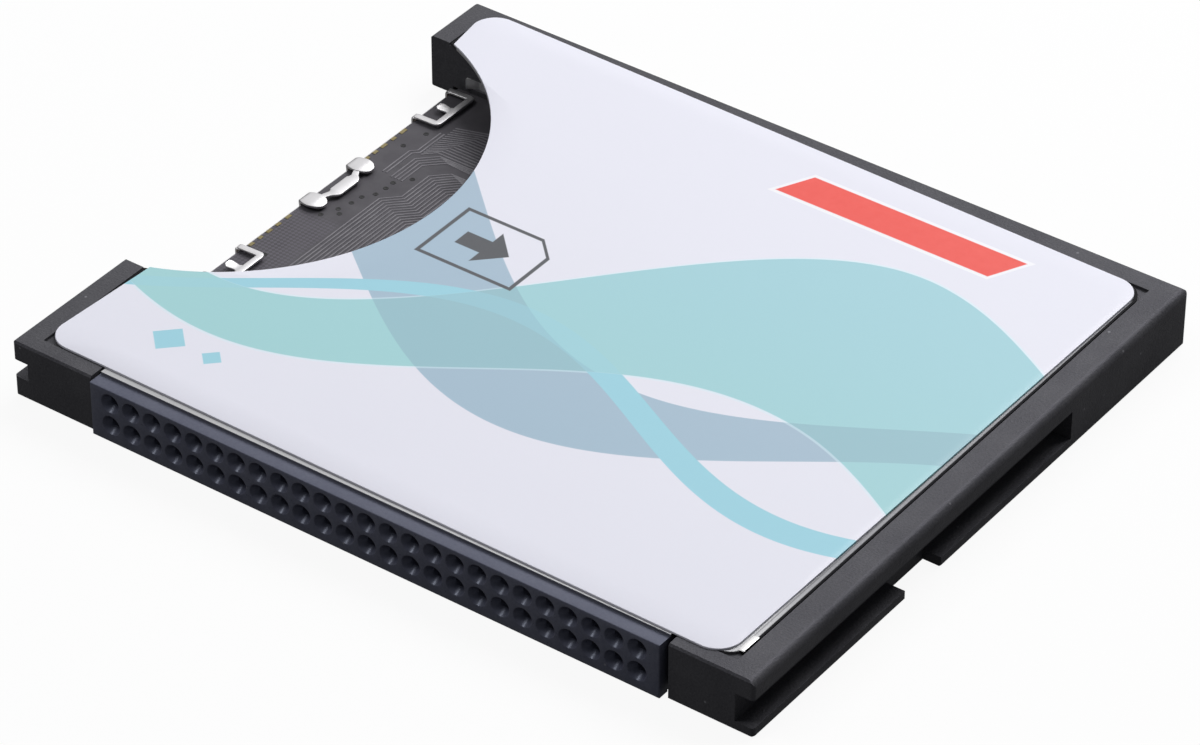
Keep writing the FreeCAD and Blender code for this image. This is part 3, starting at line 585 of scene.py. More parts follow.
def new_piece(name, parts, material, replaced=(), smooth=35):
    """Join parts, points in millimetres with faces, into one mesh at the origin that rides on the body.

    Doubled points are merged and the faces turned outwards. An edge stays sharp where its faces meet at
    more than the angle smooth, in degrees.
    """
    points, faces = join_parts(parts)
    mesh = bpy.data.meshes.new(name)
    mesh.from_pydata((points * MM).tolist(), [], faces)
    mesh.validate()
    shell = bmesh.new()
    shell.from_mesh(mesh)
    bmesh.ops.remove_doubles(shell, verts=shell.verts, dist=MERGED_BELOW * MM)
    bmesh.ops.recalc_face_normals(shell, faces=shell.faces)
    shell.to_mesh(mesh)
    shell.free()
    mesh.materials.append(material)
    mesh.shade_smooth()
    mesh.set_sharp_from_angle(angle=math.radians(smooth))
    piece = bpy.data.objects.new(name, mesh)
    bpy.context.scene.collection.objects.link(piece)
    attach(piece, ROOT)
    if replaced:
        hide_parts(*replaced)


def tube(rings, closed_start=True):
    """Points and faces of rings that have equally many points.

    Quads run from ring to ring, and one face closes the last ring and, unless it is left open, the first.
    """
    rings = np.asarray(rings, float)
    rows, columns = rings.shape[:2]
    row, column = np.meshgrid(np.arange(rows - 1), np.arange(columns), indexing="ij")
    following = (column + 1) % columns
    quads = np.stack(
        [
            row * columns + column, row * columns + following,
            (row + 1) * columns + following, (row + 1) * columns + column,
        ],
        axis=-1,
    )
    faces = quads.reshape(-1, 4).tolist()
    faces.append(list(range((rows - 1) * columns, rows * columns)))
    if closed_start:
        faces.append(list(range(columns))[::-1])
    return rings.reshape(-1, 3), faces


def headings(path):
    """Unit directions along a run of points, or along each of several runs."""
    along = np.gradient(np.asarray(path, float), axis=-2)
    return along / np.linalg.norm(along, axis=-1, keepdims=True)


def ribbon(path, widths, gauge, side):
    """A sheet metal strip: a rounded rectangle carried along a path.

    At each point the section is laid out along the side direction and along the cross product of the side
    and the path's own direction; its corners follow a circle of a third of the gauge.
    """
    path = np.asarray(path, float)
    count = len(path)
    widths = np.broadcast_to(np.asarray(widths, float), (count,))
    side = np.broadcast_to(np.asarray(side, float), (count, 3))
    along = headings(path)
    side = side - (side * along).sum(1, keepdims=True) * along
    side /= np.linalg.norm(side, axis=1, keepdims=True)
    up = np.cross(along, side)
    radius = gauge * 0.33
    turn = np.linspace(0, np.pi / 2, 4)
    quarter = np.stack([np.cos(turn), np.sin(turn)], 1) * radius
    half_u = widths[:, None] / 2 - radius
    half_v = gauge / 2 - radius
    u = []
    v = []
    for sign_u, sign_v, order in ((1, 1, 1), (-1, 1, -1), (-1, -1, 1), (1, -1, -1)):
        arc = quarter[::order]
        u.append(sign_u * (half_u + arc[None, :, 0]))
        v.append(np.broadcast_to(sign_v * (half_v + arc[None, :, 1]), (count, 4)))
    u = np.concatenate(u, 1)[..., None]
    v = np.concatenate(v, 1)[..., None]
    return tube(path[:, None] + u * side[:, None] + v * up[:, None])


def smooth_path(corners, count=48, spread=2.0):
    """Points at even steps along straight runs, averaged with their neighbours by a bell curve."""
    corners = np.asarray(corners, float)
    length = np.concatenate([[0], np.cumsum(np.linalg.norm(np.diff(corners, axis=0), axis=1))])
    at = np.linspace(0, length[-1], count)
    even = np.stack([np.interp(at, length, corners[:, axis]) for axis in range(corners.shape[1])], 1)
    reach = int(spread * 3)
    bell = np.exp(-0.5 * (np.arange(-reach, reach + 1) / spread) ** 2)
    bell /= bell.sum()
    start = 2 * even[0] - even[reach:0:-1]
    end = 2 * even[-1] - even[-2:-reach - 2:-1]
    padded = np.concatenate([start, even, end])
    return np.stack([np.convolve(padded[:, axis], bell, "valid") for axis in range(even.shape[1])], 1)


def rounded_outline(corners, radii, steps=10):
    """Corners of an outline, each replaced by the arc of its own radius that touches both sides."""
    corners = np.asarray(corners, float)
    run = []
    for index, corner in enumerate(corners):
        before = corners[index - 1] - corner
        after = corners[(index + 1) % len(corners)] - corner
        before /= np.linalg.norm(before)
        after /= np.linalg.norm(after)
        radius = radii[index]
        if radius == 0:
            run.append(corner[None])
            continue
        half = math.acos(np.clip(before @ after, -1, 1)) / 2
        centre = corner + (before + after) / np.linalg.norm(before + after) * radius / math.sin(half)
        first = corner + before * radius / math.tan(half) - centre
        last = corner + after * radius / math.tan(half) - centre
        start = math.atan2(first[1], first[0])
        sweep = (math.atan2(last[1], last[0]) - start + math.pi) % (2 * math.pi) - math.pi
        turn = start + sweep * np.linspace(0, 1, steps)
        run.append(centre + radius * np.stack([np.cos(turn), np.sin(turn)], 1))
    return np.concatenate(run)


def fan_sheet(outline, heart, low, high, edge, rows=14, ripple=None):
    """A thin sheet over an outline.

    Each ring is the outline drawn in towards the heart: point = heart + share * (outline - heart). The rim
    is rounded by an arc whose inset and rise are edge * (1 - cos t) and edge * (1 - sin t). ripple gives
    the height that the sheet loses at its points, which fades out towards the rim.
    """
    heart = np.asarray(heart, float)
    out = np.asarray(outline, float) - heart
    reach = np.linalg.norm(out, axis=1, keepdims=True)
    turn = np.linspace(0, np.pi / 2, 5)
    rims = [(0.0, low)] + list(zip(edge * (1 - np.cos(turn)), high - edge * (1 - np.sin(turn))))
    rings = [
        np.column_stack([heart + (1 - inset / reach) * out, np.full(len(out), height)])
        for inset, height in rims
    ]
    for share in np.linspace(1, 0.02, rows)[1:]:
        flat = heart + (1 - edge / reach) * share * out
        lost = (1 - share) * ripple(flat) if ripple else np.zeros(len(flat))
        rings.append(np.column_stack([flat, high - lost]))
    return tube(rings)


def thumb_bite(left):
    """Points of the thumb arc between the two places where it meets a left edge."""
    x, y, radius = THUMB_ARC
    half = math.acos((left - x) / radius)
    turn = np.linspace(half, -half, 90)
    return np.stack([x + radius * np.cos(turn), y + radius * np.sin(turn)], 1)


def frame_place(axis, share):
    """The place at a share of the frame's length along an axis, in millimetres."""
    return FRAME_LOW[axis] + (FRAME_HIGH[axis] - FRAME_LOW[axis]) * share


# Operators


def finish_node(node, material):
    """Give a solid of the frame its own procedural material."""
    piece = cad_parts[node]
    if not piece.material_slots:
        piece.data.materials.append(material)
    for slot in piece.material_slots:
        slot.material = material


class ADAPTER_OT_case(bpy.types.Operator):
    """Finish the frame moulding and the covers"""

    bl_idname = "adapter.case"
    bl_label = "Case"

    def execute(self, context):
        metal = context.scene.adapter_metal
        black = moulded_plastic(
            "frame_black", (0.0078, 0.0075, 0.0138), depth=0.024, roughness=0.44, gloss=0.215,
            tint=(0.83, 0.81, 1.0),
        )
        finish_node("frame", black)
        low, high = corners_mm("top_cover")
        steel = rolled_steel("cover_steel", metal.steel, "y", 0.34, shaded_edges=(low[0], high[0], high[1]))
        finish_node("top_cover", steel)
        finish_node("insulating_film", amber_film("film_amber", (0.55, 0.24, 0.04)))
        self.latch_fold()
        return {"FINISHED"}

    @staticmethod
    def latch_fold():
        """The bend of the upper cover over its front right latch, a thin strip with rounded edges, in
        lighter steel than the cover as a painted highlight.
        """
        high = corners_mm("top_cover")[1]
        x, y, z = high[0] - 0.19, frame_place(1, 0.058), high[2] + 0.012
        path = [(x, y - 0.62, z - 0.02), (x, y - 0.55, z), (x, y + 0.55, z), (x, y + 0.62, z - 0.02)]
        # Painted highlight: the fold's steel is lighter than the cover's own steel, so the bend shows bright
        steel = rolled_steel("fold_steel", (0.72, 0.71, 0.71), along="y", roughness=0.3, wear=0.1)
        new_piece("latch_fold", [ribbon(path, 0.3, 0.05, (1, 0, 0))], steel, smooth=40)


class ADAPTER_OT_label(bpy.types.Operator):
    """Lay the printed label, a quadrilateral film with round corners and the thumb arc"""

    bl_idname = "adapter.label"
    bl_label = "Label"

    def execute(self, context):
        left, right = FRAME_LOW[0], FRAME_HIGH[0]
        front, back = FRAME_LOW[1], FRAME_HIGH[1]
        corners = [
            (left + 1.15, front + 0.98), (right - 2.05, front + 0.68),
            (right - 1.72, back - 1.25), (left + 1.2, back - 0.42),
        ]
        rounded = rounded_outline(corners, [CORNER_RADIUS] * 4, 14)
        x, y, radius = THUMB_ARC
        run = rounded[np.hypot(rounded[:, 0] - x, rounded[:, 1] - y) > radius]
        outline = self.even(np.concatenate([run, thumb_bite(left + 1.18)[1:-1]]))
        film = fan_sheet(
            outline, (14.5, 2.2), LABEL_LOW[2] + 0.001, LABEL_HIGH[2], 0.04, ripple=self.ripple
        )
        new_piece(
            "printed_label", [film], printed_film("label_print", context.scene.adapter_print),
            ["top_label"], smooth=30,
        )
        return {"FINISHED"}

    @staticmethod
    def even(outline, longest=1.2):
        """Split long sides, so that the rings of the sheet have points all along them.

        A side of length l becomes l / longest steps: point = start + share * (end - start).
        """
        ends = np.roll(outline, -1, axis=0)
        steps = np.maximum(1, (np.linalg.norm(ends - outline, axis=1) / longest).astype(int))
        side = np.repeat(np.arange(len(outline)), steps)
        share = (np.arange(len(side)) - np.repeat(np.cumsum(steps) - steps, steps)) / steps[side]
        return outline[side] + share[:, None] * (ends - outline)[side]

    @staticmethod
    def ripple(flat):
        """Height lost to slow waves of the film: 0.006 mm times a product of two sines."""
        return 0.006 * (1 + np.sin(flat[:, 0] * 0.31 + 1.0) * np.sin(flat[:, 1] * 0.27))


class ADAPTER_OT_socket(bpy.types.Operator):
    """Mould the socket block with its fifty funnel mouths"""

    bl_idname = "adapter.socket"
    bl_label = "Socket"

    def execute(self, context):
        sizes = context.scene.adapter_socket
        border_x = BLOCK_HALF - BLOCK_ROUNDING
        half = SOCKET_PITCH / 2
        mouths = []
        for row, z in enumerate(ROW_HEIGHTS):
            down = half if row else z - BLOCK_ROUNDING
            up = BLOCK_TOP - BLOCK_ROUNDING - z if row else half
            for index in range(SOCKETS_PER_ROW):
                x = FIRST_SOCKET + index * SOCKET_PITCH
                to_left = half if index else x + border_x
                to_right = half if index < SOCKETS_PER_ROW - 1 else border_x - x
                mouths.append(self.mouth(sizes, x, z, to_left, to_right, down, up))
        parts = mouths + [self.block(np.concatenate([points for points, faces in mouths]))]
        parts += [self.ear(side) for side in (-1, 1)]
        plastic = moulded_plastic(
            "socket_black", sizes.plastic, grain=7.0, depth=0.004, roughness=0.3, gloss=0.52,
            tint=(0.76, 0.82, 1.0), dull_above=float(BLOCK_TOP) - 0.05,
        )
        new_piece(
            "socket_block", parts, plastic, ["connector_housing"], smooth=32
        )
        return {"FINISHED"}

    @staticmethod
    def mouth(sizes, x, z, to_left, to_right, down, up):
        """One mouth in its own rectangle of the front face.

        Ring 0 is the rectangle, met by rays at even angles and at its corners. The next rings are circles
        that round over the lip, run down the cone to the throat and turn into the square passage:
        radius(angle) = side / (|cos|^6 + |sin|^6)^(1/6).
        """
        corner_turns = [
            math.atan2(side_z, side_x) % (2 * math.pi)
            for side_x, side_z in ((to_right, up), (-to_left, up), (-to_left, -down), (to_right, -down))
        ]
        even = np.arange(sizes.sides) * 2 * np.pi / sizes.sides
        turns = np.unique(np.round(np.concatenate([even, corner_turns]), 9))
        cos, sin = np.cos(turns), np.sin(turns)
        reach_x = np.where(cos > 0, to_right, to_left) / np.maximum(np.abs(cos), 1e-9)
        reach_z = np.where(sin > 0, up, down) / np.maximum(np.abs(sin), 1e-9)
        mouth = sizes.mouth / MM / 2
        throat = sizes.throat / MM / 2
        funnel = sizes.funnel / MM
        passage = np.minimum(0.25 / (np.abs(cos) ** 6 + np.abs(sin) ** 6) ** (1 / 6), throat)
        lip = 0.035
        profile = [(np.minimum(reach_x, reach_z), 0.0)]
        for turn in np.linspace(0, np.pi / 2.6, 4):
            profile.append((mouth + lip * (1 - math.sin(turn)), lip * (1 - math.cos(turn))))
        profile += [(throat + 0.02, funnel), (passage, funnel + 0.05), (passage, SOCKET_DEPTH)]
        rings = [
            np.column_stack([x + radius * cos, np.full(len(cos), HOUSING_LOW[1] + depth), z + radius * sin])
            for radius, depth in profile
        ]
        return tube(rings, closed_start=False)

    @staticmethod
    def block(points):
        """The block behind the mouths, drawn back from the border of their front face.

        The border is the outer points at the front, in order of their angle. A ring is the border scaled
        about the block's middle. The rings round over the front edge, run back past the lip, rise off the
        lower cover there, z = top - (top - z) * (top - lift) / top, and end at the closed rear face.
        """
        front, middle = HOUSING_LOW[1], BLOCK_TOP / 2
        across = points[:, 0] / (BLOCK_HALF - BLOCK_ROUNDING)
        height = (points[:, 2] - middle) / (middle - BLOCK_ROUNDING)
        border = (points[:, 1] == front) & (np.maximum(np.abs(across), np.abs(height)) > 1 - 1e-6)
        across, height = across[border], height[border]
        order = np.unique(np.round(np.arctan2(across, height), 6), return_index=True)[1]
        across, height = across[order], height[order]
        lip_back = FRAME_LOW[1] + LIP_DEPTH
        steps = [
            (BLOCK_ROUNDING * (1 - math.sin(turn)), 0.0, front + BLOCK_ROUNDING * (1 - math.cos(turn)))
            for turn in np.linspace(0, np.pi / 2, 4)
        ]
        steps += [(0.0, 0.0, lip_back), (0.0, GAUGE, lip_back + 0.001), (0.0, GAUGE, HOUSING_HIGH[1])]
        rings = []
        for inset, lift, y in steps:
            z = middle + height * (middle - inset)
            z = BLOCK_TOP - (BLOCK_TOP - z) * (BLOCK_TOP - lift) / BLOCK_TOP
            rings.append(np.column_stack([across * (BLOCK_HALF - inset), np.full(len(z), y), z]))
        return tube(rings, closed_start=False)

    @staticmethod
    def ear(side):
        """A small upright block at an end of the socket, which sits in the frame."""
        inner, outer = side * (BLOCK_HALF - 0.02), side * (BLOCK_HALF + 0.6)
        front, back = FRAME_LOW[1] + 1.6, FRAME_LOW[1] + 4.0
        corners = [(inner, front), (outer, front), (outer, back), (inner, back)]
        return tube([[(x, y, z) for x, y in corners] for z in (GAUGE, BLOCK_TOP)])


class ADAPTER_OT_socket_contacts(bpy.types.Operator):
    """Form the sprung leaves inside the socket, with legs down to the board"""

    bl_idname = "adapter.socket_contacts"
    bl_label = "Socket contacts"

    def execute(self, context):
        gold = plated_metal("contact_gold", context.scene.adapter_metal.gold)
        places = FIRST_SOCKET + np.arange(SOCKETS_PER_ROW) * SOCKET_PITCH
        for name, height, sign in (("lower", ROW_HEIGHTS[0], -1), ("upper", ROW_HEIGHTS[1], 1)):
            leaves = [self.leaf(x, height, sign) for x in places]
            new_piece(name + "_leaves", leaves, gold, [name + "_contacts"])
        return {"FINISHED"}

    @staticmethod
    def leaf(x, height, sign):
        """A leaf that bows towards the pin, runs out behind, jogs sideways and goes down to a foot."""
        wall = height + sign * (0.25 - CONTACT_GAUGE / 2)
        front = HOUSING_LOW[1]
        back = HOUSING_HIGH[1] + 0.11
        tail = x + sign * SOCKET_PITCH / 4
        foot = BOARD_TOP + CONTACT_GAUGE / 2 + 0.01
        corners = [
            (x, front + 0.85, wall), (x, front + 1.2, wall - sign * 0.14),
            (x, front + 1.7, wall - sign * 0.16), (x, front + 2.4, wall), (x, back - 0.35, wall),
            (tail, back, wall), (tail, back, wall - 0.1), (tail, back, foot), (tail, back + 0.9, foot),
        ]
        path = smooth_path(corners, 34, 1.0)
        widths = np.interp(np.arange(len(path)), [0, 4, 10, len(path) - 1], [0.16, 0.28, 0.3, 0.22])
        return ribbon(path, widths, CONTACT_GAUGE, (1, 0, 0))


class ADAPTER_OT_card_contacts(bpy.types.Operator):
    """Form the nine springs that touch the card"""

    bl_idname = "adapter.card_contacts"
    bl_label = "Card contacts"

    def execute(self, context):
        gold = plated_metal("card_contact_gold", context.scene.adapter_metal.gold)
        low, high = corners_mm("card_contacts")
        springs = [self.spring(low[0], high[0], y) for y in np.linspace(low[1] + 0.4, high[1] - 0.4, 9)]
        new_piece("card_springs", springs, gold, ["card_contacts"])
        return {"FINISHED"}

    @staticmethod
    def spring(left, right, y):
        """A beam that rises to the card, passes through the holder and goes down to its foot."""
        beam = BOARD_TOP + 0.31
        foot = BOARD_TOP + 0.07
        corners = [
            (left + 0.06, y, beam + 0.2), (left + 0.7, y, beam + 0.5), (left + 1.2, y, beam + 0.42),
            (HOLDER_LOW[0], y, beam), (HOLDER_HIGH[0] + 0.06, y, beam),
            (HOLDER_HIGH[0] + 0.1, y, foot), (right - 0.05, y, foot),
        ]
        path = smooth_path(corners, 44, 1.2)
        widths = np.interp(np.arange(len(path)), [0, 6, 20, len(path) - 1], [0.42, 0.6, 0.8, 0.8])
        return ribbon(path, widths, CONTACT_GAUGE, (0, 1, 0))


class ADAPTER_OT_lower_cover(bpy.types.Operator):
    """Form the lower cover with its turned-up tabs and the bright hooks over the board's edge"""

    bl_idname = "adapter.lower_cover"
    bl_label = "Lower cover"

    def execute(self, context):
        metal = context.scene.adapter_metal
        level = BOARD_TOP + metal.board_lift / MM + GAUGE / 2
        band = metal.hook_band / MM
        parts = [self.sheet(), *self.tabs()]
        for middle in (FRONT_HOOK, BACK_HOOK):
            parts += self.loop_hook(middle, level, band)
        parts += self.middle_hook(level)
        steel = rolled_steel("hook_steel", (0.64, 0.63, 0.64), along="y", roughness=0.48, wear=0.1)
        new_piece("hooked_cover", parts, steel, ["bottom_cover"])
        return {"FINISHED"}

    @staticmethod
    def sheet():
        """The flat sheet with rounded corners and a tongue below the socket block."""
        left, right = COVER_LOW[0], COVER_HIGH[0]
        front, back = COVER_LOW[1], COVER_HIGH[1]
        shelf = front + 0.35
        tongue = BLOCK_HALF - 0.05
        corners = [
            (left, shelf), (-tongue + 0.1, shelf), (-tongue + 0.1, front), (tongue, front),
            (tongue, shelf), (right, shelf), (right, back), (left, back),
        ]
        radii = [CORNER_RADIUS * rounded for rounded in (1, 0, 0, 0, 0, 1, 1, 1)]
        outline = rounded_outline(corners, radii)
        return fan_sheet(outline, (0.0, 0.0), GAUGE, 0.0, -0.03, rows=4)

    @staticmethod
    def tabs():
        """Short strips turned up from the sheet's right and back edges."""
        right, back = COVER_HIGH[0] - GAUGE / 2, COVER_HIGH[1] - GAUGE / 2
        places = [(right, frame_place(1, share), (0, 1, 0)) for share in (0.165, 0.907)]
        places += [(frame_place(0, share), back, (1, 0, 0)) for share in (0.269, 0.748)]
        rise = [GAUGE - 0.05, GAUGE + 0.3, GAUGE + 1.2]
        return [ribbon([(x, y, z) for z in rise], TAB_WIDTH, GAUGE, side) for x, y, side in places]

    @staticmethod
    def loop_hook(middle, level, band):
        """A band over the board's edge that runs round three sides and comes back, with a curl inside."""
        low_y, high_y = middle - HOOK_HALF + band / 2, middle + HOOK_HALF - band / 2
        x = HOOK_ROOT + GAUGE / 2
        tip = HOOK_ROOT + HOOK_LENGTH - band / 2
        corners = [
            (x, low_y, HOOK_FOOT), (x, low_y, level - 0.02), (x + 0.12, low_y, level),
            (tip, low_y, level + 0.04), (tip, high_y, level + 0.04),
            (x + 0.12, high_y, level), (x, high_y, level - 0.02), (x, high_y, HOOK_FOOT),
        ]
        path = smooth_path(corners, 110, 1.6)
        along = headings(path)
        flat = np.column_stack([-along[:, 1], along[:, 0], np.zeros(len(along))])
        climb = np.abs(along[:, 2:3])
        side = flat * (1 - climb) + np.array([0.0, 1.0, 0.0]) * climb * np.sign(path[:, 1:2] - middle)
        side = np.where(np.linalg.norm(side, axis=1, keepdims=True) < 1e-3, [[0.0, 1.0, 0.0]], side)
        loop = ribbon(path, band, GAUGE * 0.9, side)
        corners = [
            (tip - band * 0.3, middle - 0.1, level + 0.03), (tip - 0.4, middle - 0.1, level + 0.04),
            (tip - 0.8, middle - 0.15, level + 0.1), (tip - 0.9, middle - 0.15, level + 0.18),
        ]
        curl = smooth_path(corners, 22, 1.5)
        widths = np.interp(np.arange(len(curl)), [0, 5, 16, 21], [0.7, 0.45, 0.6, 0.4])
        return [loop, ribbon(curl, widths, GAUGE * 0.8, (0, 1, 0))]

    @staticmethod
    def middle_hook(level):
        """Two round-ended lobes turned over the board's edge, and a bowed bar between them."""
        x = HOOK_ROOT + GAUGE / 2
        parts = []
        for y in (MIDDLE_HOOK - LOBE_OFFSET, MIDDLE_HOOK + LOBE_OFFSET):
            corners = [
                (x, y, HOOK_FOOT), (x, y, level - 0.02), (x + 0.12, y, level + 0.03),
                (HOOK_ROOT + 0.9, y, level + 0.07), (HOOK_ROOT + 1.42, y, level + 0.02),
            ]
            path = smooth_path(corners, 40, 1.4)
            along = np.linspace(0, 1, len(path))
            # The end is half an ellipse: width = full * sqrt(1 - ((s - s0) / (1 - s0))^2) past s0.
            beyond = np.clip((along - 0.64) / 0.365, 0, 1)
            widths = np.interp(along, [0, 0.3, 0.42, 0.52, 0.64], [0.5, 0.62, 0.88, 1.0, 1.06])
            widths = widths * np.sqrt(1 - beyond ** 2) + 0.1
            parts.append(ribbon(path, widths, GAUGE, (0, 1, 0)))
        half_bow = [(0.75, 1.6, 0.02), (0.95, 1.15, 0.04), (1.14, 0.8, 0.05)]
        corners = [(HOOK_ROOT + x, MIDDLE_HOOK - y, level + z) for x, y, z in half_bow]
        corners += [(HOOK_ROOT + x, MIDDLE_HOOK + y, level + z) for x, y, z in half_bow[::-1]]
        bow = smooth_path(corners, 60, 1.6)
        along = headings(bow)
        side = np.column_stack([-along[:, 1], along[:, 0], np.zeros(len(along))])
        widths = np.interp(
            np.linspace(0, 1, len(bow)), [0, 0.2, 0.3, 0.7, 0.8, 1], [0.3, 0.38, 0.74, 0.74, 0.38, 0.3]
        )
        parts.append(ribbon(bow, widths, GAUGE * 0.9, side))
        return parts


class ADAPTER_OT_board(bpy.types.Operator):
    """Finish the board: raised tracks, plated holes and bare pads along its left edge"""

    bl_idname = "adapter.board"
    bl_label = "Board"

    def execute(self, context):
        sizes = context.scene.adapter_board
        finish_node("circuit_board", board_mask("board_mask", sizes.mask))
        lighter = scaled(sizes.mask, 2.5, 2.5, 2.5)
        # Painted shade: the holes are near black, and the flat sunk middle of each rim stands in for the
        # shadow inside the hole
        holes = moulded_plastic("hole_mask", (0.004, 0.004, 0.005), roughness=0.8, gloss=0.02)
        copper = plated_metal("edge_copper", (0.2, 0.16, 0.06), 0.5)
        for name, parts, material, slot in (
            ("board_tracks", self.tracks(sizes), self.track_mask(lighter), "board_laminate"),
            ("plated_holes", self.holes(), holes, "board_laminate"),
            ("edge_pads", self.edge_pads(), copper, "contact_gold"),
        ):
            new_piece(name, parts, material, smooth=40)
        return {"FINISHED"}

    @staticmethod
    def track_mask(colour):
        """Solder mask over copper: a little paler and smoother than the mask beside it."""
        r = Recipe("track_mask")
        cloud = r.noise(1.3, 3.0)
        shaded = r.shade(cloud, 0.25, colour)
        return r.surface(
            {"Specular IOR Level": 0.3}, base_color=shaded, roughness=0.36 + 0.12 * cloud,
            normal=r.bump(r.noise(6.0, 2.0), 0.002),
        )

    @staticmethod
    def tracks(sizes):
        """Tracks side by side: corner k of track i lies at a first point plus i times a step of its own.

        Each section is a low trapezium carried along the run and set square to its mean direction.
        """
        pitch = sizes.track_pitch / MM
        width = sizes.track_width / MM
        foot, crest = BOARD_TOP - 0.01, BOARD_TOP + 0.02
        section = [(-width / 2, foot), (-width / 3, crest), (width / 3, crest), (width / 2, foot)]
        # Number of tracks, the first one's corners, and each corner's step to the next track, in pitches
        families = (
            (
                26,
                [(-16.9, -12.6), (-16.9, 4.2), (-16.1, 5.0), (-16.1, 7.2), (-15.3, 8.0), (-8.0, 8.0)],
                [(1, 0), (1, -0.41), (1, -0.41), (1, -0.41), (1, -0.41), (0, -1)],
            ),
            (
                14,
                [(-17.6, 8.5), (-17.0, 9.1), (-8.0, 9.1)],
                [(0, 1), (0.41, 1), (0, 1)],
            ),
            (
                4,
                [(-17.6, 6.05), (-17.6, 8.0), (-16.7, 8.9), (-8.0, 8.9)],
                [(1, 0), (1, -0.41), (1, -0.41), (0, -1)],
            ),
            (
                2,
                [(-18.25, 6.2), (-18.25, 8.4), (-17.95, 8.7), (-17.95, 10.6)],
                [(1, 0), (1, -0.41), (1, -0.41), (1, 0)],
            ),
        )
        parts = []
        for count, firsts, steps in families:
            lines = np.array(firsts) + pitch * np.arange(count)[:, None, None] * np.array(steps)
            direction = headings(lines)
            normal = np.stack([-direction[..., 1], direction[..., 0]], axis=-1)
            rows = [
                np.concatenate([lines + normal * out, np.full((*lines.shape[:2], 1), height)], axis=2)
                for out, height in section
            ]
            parts += [tube(track) for track in np.stack(rows, axis=2)]
        return parts

    @staticmethod
    def holes():
        """Small round rims with a sunk middle, each a ring profile turned about its own axis."""
        places = (
            (-18.5, -2.9), (-18.4, 1.4), (-18.0, 2.3), (-17.7, 2.0), (-17.8, 3.1), (-17.7, 3.8),
            (-17.3, 4.4), (-17.2, 5.1), (-17.2, 5.7), (-16.6, 6.5), (-18.8, 8.6), (-18.5, 10.1),
        )
        profile = ((0.15, -0.01), (0.14, 0.012), (0.11, 0.016), (0.08, 0.01), (0.07, 0.002))
        turns = np.linspace(0, 2 * np.pi, 20, endpoint=False)
        circle = np.column_stack([np.cos(turns), np.sin(turns), np.zeros(len(turns))])
        return [
            tube([(x, y, BOARD_TOP + height) + radius * circle for radius, height in profile])
            for x, y in places
        ]

    @staticmethod
    def edge_pads():
        """Bare copper ends along the board's cut edge, as thin plates that wrap over its corner."""
        parts = []
        x = BOARD_LOW[0]
        for y, length in (
            (-2.6, 0.35), (-1.9, 0.3), (-1.2, 0.4), (-0.5, 0.35), (0.3, 0.4), (6.6, 0.4), (7.3, 0.35),
            (8.0, 0.45), (8.8, 0.35), (9.6, 0.5), (-7.4, 0.4), (-8.2, 0.3),
        ):
            path = [
                (x + 0.22, y, BOARD_TOP + 0.005), (x + 0.02, y, BOARD_TOP + 0.008),
                (x - 0.004, y, BOARD_TOP - 0.02), (x - 0.006, y, BOARD_TOP - 0.3),
            ]
            parts.append(ribbon(path, length, 0.03, (0, 1, 0)))
        return parts


class ADAPTER_OT_small_parts(bpy.types.Operator):
    """Finish the springs, chips and other parts inside the case"""

    bl_idname = "adapter.small_parts"
    bl_label = "Small parts"

    def execute(self, context):
        metal = context.scene.adapter_metal
        gold = plated_metal("switch_gold", metal.gold, 0.25)
        tin = plated_metal("tin", (0.72, 0.72, 0.72), 0.32)
        resin = chip_resin("chip_resin", (0.025, 0.025, 0.027))
        finishes = {
            "contact_holder": moulded_plastic("holder_black", (0.04, 0.04, 0.045), grain=8.0),
            "retention_spring": rolled_steel("spring_steel", (0.88, 0.88, 0.88), roughness=0.55, wear=0.1),
            "controller_chip": resin,
            "voltage_regulator": resin,
            "crystal_base": fired_ceramic("crystal_tray", (0.18, 0.17, 0.16)),
            "crystal_lid": rolled_steel("lid_steel", (0.75, 0.74, 0.7), roughness=0.3),
            "capacitor_bodies": fired_ceramic("capacitor_brown", (0.42, 0.3, 0.2)),
            "resistor_bodies": fired_ceramic("resistor_black", (0.03, 0.03, 0.03), 0.35),
        }
        for switch in ("write_protect", "card_detect"):
            for piece in ("spring", "contact"):
                finishes[f"{switch}_{piece}"] = gold
        for node in ("chip_terminals", "regulator_legs", "capacitor_ends", "resistor_ends"):
            finishes[node] = tin
        for node, material in finishes.items():
            finish_node(node, material)
        return {"FINISHED"}


